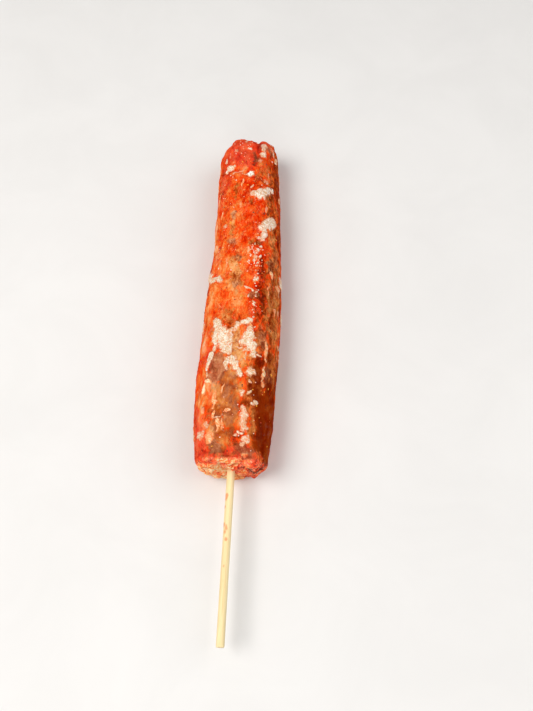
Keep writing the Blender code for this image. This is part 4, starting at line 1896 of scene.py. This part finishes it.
def fat_patches() -> tuple[Patch, ...]:
    """The fat in the skin: placed shreds on the upper side, and chance ones all round.

    Returns:
        The patches.
    """
    rng = np.random.default_rng(FAT_SEED)
    chance: list[Patch] = []
    for turns in ((165.0, 375.0),) * LOWER_FAT + ((20.0, 165.0),) * UPPER_FAT:
        angle = rng.uniform(*turns)
        length, width = rng.uniform(1.6, 6.5), rng.uniform(0.8, 1.6)
        along, turn = rng.uniform(4.0, 146.0), rng.uniform(-25.0, 25.0)
        chance.append((Lobe(along, angle, length, width, turn=turn),))
    return placed_patches(PLACED_FAT) + tuple(chance)


# ---- grains on the meat


@dataclass(frozen=True)
class Strewing:
    """A patch of the skin strewn with grains: its middle and size in mm, and their number and sizes."""

    along: float
    angle: float
    length: float
    width: float
    number: int
    smallest: float
    largest: float


@dataclass
class StrewnGrains:
    """Small irregular grains set into the skin, as one piece of closed shells."""

    name: str
    finish: GrainFinish
    strewings: tuple[Strewing, ...]
    shape: Triple
    sunk: float
    seed: int
    subdivisions: int = 2
    roughness: float = 0.448
    lowest: float = 0.00004
    template: Array = field(init=False)

    def grain(self, place: tuple[Vector, Vector], size: float, rng: Chance) -> Array:
        """One grain's points, set into the skin at a place.

        Args:
            place: the skin's point and normal.
            size: its radius.
            rng: the source of chance.

        Returns:
            The points, one row each.
        """
        point, normal = place
        side = normal.cross(Vector(rng.normal(size=3))).normalized()
        axes = np.array((side, normal.cross(side), normal))
        bumps = noise_at(self.template, 0.9, rng.uniform(0.0, 90.0))
        stretch = np.array(self.shape) * rng.uniform(0.75, 1.3, 3)
        local = self.template * (1.0 + self.roughness * bumps)[:, None] * stretch * size
        lift = float(stretch[2]) * size * (1.0 - 2.0 * self.sunk)
        world = local @ axes + np.array(point) + np.array(normal) * lift
        world[:, 2] = np.maximum(world[:, 2], self.lowest)
        return world

    def build(self, surface: MeatSurface, tones: ToneMap, effects: Effects) -> Piece:
        """Makes and dresses the grains.

        Args:
            surface: the meat's skin.
            tones: the skin's zones; not used.
            effects: the node groups.

        Returns:
            The piece.
        """
        rng = np.random.default_rng(self.seed)
        self.template, faces = ball(self.subdivisions)
        stack = MeshStack()
        for strewing in self.strewings:
            for _ in range(strewing.number):
                down, side = rng.uniform(-0.5, 0.5, 2)
                angle = strewing.angle + side * strewing.width / ARC_MM
                found = surface.read(strewing.along + down * strewing.length, angle)
                size = rng.uniform(strewing.smallest, strewing.largest) * 0.5 * MM
                tint = rng.uniform(0.0, 1.0)
                if found is not None:
                    points = self.grain(found, size, rng)
                    stack.add(points, faces, tint=np.full(len(points), tint))
        piece = stack.piece(self.name)
        piece.data.materials.append(self.finish.build(effects))
        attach(piece, BODY)
        return piece


# ---- the stick


@dataclass(frozen=True)
class JuiceStain:
    """A juice stain: mm from the meat, angle, length in mm, spread in degrees and strength."""

    along: float
    angle: float
    length: float
    spread: float
    strength: float


@dataclass
class BambooStick:
    """The round bamboo stick: fine grooves, broken fibres at its flat-cut ends, juice near the meat."""

    name: str = "bamboo_stick"
    sides: int = 48
    stations: int = 150
    groove: float = 0.000022
    wander: float = 0.00003
    fraying: float = 0.00008
    chamfer: float = 0.00022
    end_rings: Span = (0.3, 0.65)
    sharp_angle: float = 35.0
    finish: BambooFinish = BambooFinish()
    stains: tuple[JuiceStain, ...] = tuple(
        JuiceStain(*row)
        for row in (
            (0, 90, 2.6, 200, 0.9), (11, 128, 2.4, 34, 1.25), (12.4, 140, 1.6, 26, 0.9),
            (15.2, 160, 1.8, 26, 0.95), (21.2, 152, 2, 30, 0.95), (22.6, 105, 3.4, 30, 0.85),
            (24.4, 120, 2, 26, 0.8), (26.8, 96, 1.6, 24, 1.1), (24, 40, 6, 50, 0.45),
            (27, -120, 9, 90, 0.6), (9, -60, 5, 70, 0.6), (36, 110, 1, 24, 0.6),
            (63.2, 90, 0.9, 300, 0.45),
        )
    )

    def ring(self, layout: Layout, y: float, share: float) -> Array:
        """One ring of the stick's skin.

        Args:
            layout: where the solids stand.
            y: where along the stick.
            share: the share of its radius.

        Returns:
            The ring's points, one row each.
        """
        turns = np.arange(self.sides) * math.tau / self.sides
        across = np.stack((np.cos(turns), np.zeros(self.sides), np.sin(turns)), axis=1)
        reading = across * layout.radius + np.array((0.0, y, 0.0))
        grooves = noise_at(reading, (0.00025, 0.03, 0.00025), 2.0) * self.groove
        wander = noise_at(reading, (0.002, 0.02, 0.002), 4.0) * self.wander
        radius = (layout.radius + grooves + wander - self.wander) * share
        return np.array((layout.axis_x, y, layout.axis_z)) + across * radius[:, None]

    def skin(self, layout: Layout) -> Piece:
        """The stick's mesh, ring by ring, with the middle of each cut end as one more point.

        Args:
            layout: where the solids stand.

        Returns:
            The piece.
        """
        low, high = layout.stick_start, layout.stick_end
        shares = (*self.end_rings, 1.0 - self.chamfer / layout.radius)
        length = high - low - 2.0 * self.chamfer
        sides = [low + self.chamfer + length * i / self.stations for i in range(self.stations + 1)]
        profile = [(low, share) for share in shares] + [(y, 1.0) for y in sides]
        profile += [(high, share) for share in reversed(shares)]
        rings = [self.ring(layout, y, share) for y, share in profile]
        for number in (0, 1, -2, -1):
            rings[number][:, 1] += noise_at(rings[number], (0.0004, 0.001, 0.0004), 6.0) * self.fraying
        middles = [rings[end].mean(axis=0, keepdims=True) for end in (0, -1)]
        points = np.concatenate([*rings, *middles])
        pairs = [(i, (i + 1) % self.sides) for i in range(self.sides)]
        faces: list[tuple[int, ...]] = []
        for start in range(0, (len(rings) - 1) * self.sides, self.sides):
            after = start + self.sides
            faces += [(start + i, after + i, after + j, start + j) for i, j in pairs]
        first_middle, last_middle = len(points) - 2, len(points) - 1
        last = (len(rings) - 1) * self.sides
        for i, j in pairs:
            faces += [(first_middle, i, j), (last_middle, last + j, last + i)]
        return make_piece(self.name, points, faces)

    def stain(self, piece: Piece, layout: Layout) -> None:
        """Paints the juice on the stick.

        Args:
            piece: the stick.
            layout: where the solids stand.
        """
        along, angle = layout.places(mesh_points(piece.data))
        juice = np.zeros(len(along))
        for stain in self.stains:
            near = np.exp(-(((-along - stain.along) / (0.5 * stain.length)) ** 2))
            round_it = np.exp(-((turn_between(angle, stain.angle) / stain.spread) ** 2))
            juice = np.maximum(juice, stain.strength * near * round_it)
        paint(piece.data, "juice", juice)

    def build(self, layout: Layout, effects: Effects) -> Piece:
        """Makes and dresses the stick.

        Args:
            layout: where the solids stand.
            effects: the node groups.

        Returns:
            The piece.
        """
        piece = self.skin(layout)
        piece.data.set_sharp_from_angle(angle=math.radians(self.sharp_angle))
        self.stain(piece, layout)
        piece.data.materials.append(self.finish.build(effects))
        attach(piece, BODY)
        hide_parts("stick")
        return piece


# ---- the studio


@dataclass(frozen=True)
class SoftLamp:
    """A square area lamp: where it stands, what it points at, its size, its power and its colour."""

    name: str
    place: Triple
    target: Triple
    size: float
    power: float
    colour: Triple

    def build(self) -> None:
        """Puts the lamp in the scene."""
        lamp = bpy.data.lights.new(self.name, "AREA")
        lamp.size, lamp.energy, lamp.color = self.size, self.power, self.colour
        holder = link(self.name, lamp)
        holder.location = self.place
        aim = Vector(self.target) - Vector(self.place)
        holder.rotation_euler = aim.to_track_quat("-Z", "Y").to_euler()


@dataclass
class Studio:
    """The floor, the lamps and the camera, whose azimuth and downward tilt are in degrees."""

    floor_reach: float = 3.0
    camera_place: Triple = (0.0164, -0.1348, 0.2916)
    camera_azimuth: float = 2.2744
    camera_tilt: float = 63.832
    lens: float = 39.62
    sensor: float = 36.0
    nearest: float = 0.01
    sky: Colour = (1.0, 0.99, 0.97, 1.0)
    sky_strength: float = 0.32
    floor_finish: FloorFinish = FloorFinish()
    lamps: tuple[SoftLamp, ...] = (
        SoftLamp("key", (-0.45, -0.18, 0.82), (0.0, 0.02, 0.0), 0.50, 6.7, (1.0, 0.98, 0.95)),
        SoftLamp("front", (-0.10, -0.80, 0.40), (0.0, -0.04, 0.01), 0.50, 1.6, (1.0, 0.98, 0.96)),
        SoftLamp("fill", (0.66, 0.05, 0.7), (0.0, 0.04, 0.0), 0.8, 3.7, (0.98, 0.98, 0.98)),
    )

    def add_floor(self, effects: Effects) -> None:
        """Lays a wide floor under the skewer.

        Args:
            effects: the node groups.
        """
        reach = self.floor_reach
        sides = ((-1, -1), (1, -1), (1, 1), (-1, 1))
        corners = np.array([(reach * across, reach * along, 0.0) for across, along in sides])
        floor = make_piece("floor", corners, [(0, 1, 2, 3)])
        floor.data.materials.append(self.floor_finish.build(effects))

    def add_sky(self) -> None:
        """Adds an even, faintly warm light from all round."""
        world = bpy.data.worlds.new("studio")
        world.use_nodes = True
        ground = world.node_tree.nodes["Background"]
        NodeSheet(world.node_tree).dress(ground, {"Color": self.sky, "Strength": self.sky_strength})
        bpy.context.scene.world = world

    def add_camera(self) -> None:
        """Adds the camera, which looks down along the skewer from its bare end."""
        camera = bpy.data.cameras.new("camera")
        camera.lens, camera.sensor_width, camera.clip_start = self.lens, self.sensor, self.nearest
        holder = link("camera", camera)
        holder.location = self.camera_place
        tip = math.radians(90.0 - self.camera_tilt)
        holder.rotation_euler = (tip, 0.0, math.radians(self.camera_azimuth))
        bpy.context.scene.camera = holder

    def build(self, effects: Effects) -> None:
        """Sets up the whole studio.

        Args:
            effects: the node groups.
        """
        self.add_floor(effects)
        self.add_sky()
        for lamp in self.lamps:
            lamp.build()
        self.add_camera()
        bpy.context.scene.view_settings.view_transform = "Standard"


# ---- the whole skewer


def make_toppings() -> list[SurfaceCrust | StrewnGrains]:
    """The frost, fat, ice and spice on the meat.

    Returns:
        The four pieces' makers, ready to build.
    """
    frost = CrustFinish(
        "frost",
        thick=(0.84, 0.75, 0.57, 1.0), milky=(0.74, 0.46, 0.25, 1.0), thin=(0.82, 0.31, 0.14, 1.0),
        line=(0.96, 0.91, 0.84, 1.0), crack=(0.56, 0.28, 0.11, 1.0), rime=(1.00, 0.82, 0.71, 1.0),
        roughness=0.45, softness=0.10, shift=2.0, fade=0.78,
    )
    fat = CrustFinish(
        "raw fat",
        thick=(0.93, 0.66, 0.36, 1.0), milky=(0.91, 0.42, 0.15, 1.0), thin=(0.88, 0.22, 0.05, 1.0),
        line=(0.95, 0.74, 0.48, 1.0), crack=(0.88, 0.22, 0.05, 1.0), rime=(0.93, 0.66, 0.40, 1.0),
        roughness=0.42, softness=0.12, shift=6.0, fade=1.25,
    )
    ice = GrainFinish(
        "ice grains",
        low=(0.88, 0.32, 0.16, 1.0), middle=(0.92, 0.50, 0.33, 1.0), high=(0.94, 0.70, 0.55, 1.0),
        roughness=0.28, coat=0.3,
    )
    spice = GrainFinish(
        "spice flakes",
        low=(0.10, 0.018, 0.003, 1.0), middle=(0.62, 0.05, 0.004, 1.0), high=(0.92, 0.36, 0.015, 1.0),
        roughness=0.45, coat=0.1,
    )
    ice_rows = (
        (86, 68, 11, 6, 40, 0.3, 0.75), (72, 64, 34, 2, 24, 0.3, 0.75), (112, 95, 70, 24, 60, 0.25, 0.55),
        (45, 100, 80, 26, 34, 0.22, 0.45), (18, 62, 30, 9, 12, 0.25, 0.55), (145, 70, 12, 26, 20, 0.3, 0.7),
        (76, 250, 146, 40, 190, 0.25, 0.8),
    )
    spice_rows = ((76, 95, 148, 42, 170, 0.3, 0.85), (76, 265, 148, 46, 180, 0.3, 0.85))
    ice_strewings = tuple(Strewing(*row) for row in ice_rows)
    spice_strewings = tuple(Strewing(*row) for row in spice_rows)
    return [
        SurfaceCrust("frost_crusts", frost, frost_patches(), 0.00028, 0.00007),
        SurfaceCrust("fat_shreds", fat, fat_patches(), 0.00016, 0.00003, ragged=0.45, swirl_turns=1.4),
        StrewnGrains("ice_grains", ice, ice_strewings, (1.0, 1.0, 0.7), 0.40, 31),
        StrewnGrains("spice_flakes", spice, spice_strewings, (1.2, 0.8, 0.35), 0.45, 37, subdivisions=1),
    ]


def report(piece: Piece) -> None:
    """Logs a piece's name and how many triangles it has."""
    triangles = sum(len(face.vertices) - 2 for face in piece.data.polygons)
    log.info("%s: %d triangles", piece.name, triangles)


def main() -> None:
    """Builds the skewer and its studio."""
    logging.basicConfig(level=logging.INFO, format="%(name)s: %(message)s")
    effects = Effects()
    layout = Layout.from_frame()
    tones = ToneMap(layout)
    meat = PressedMince().build(layout, tones, effects)
    report(meat)
    surface = MeatSurface(meat, layout)
    for topping in make_toppings():
        report(topping.build(surface, tones, effects))
    report(BambooStick().build(layout, effects))
    Studio().build(effects)


if __name__ == "__main__":
    main()
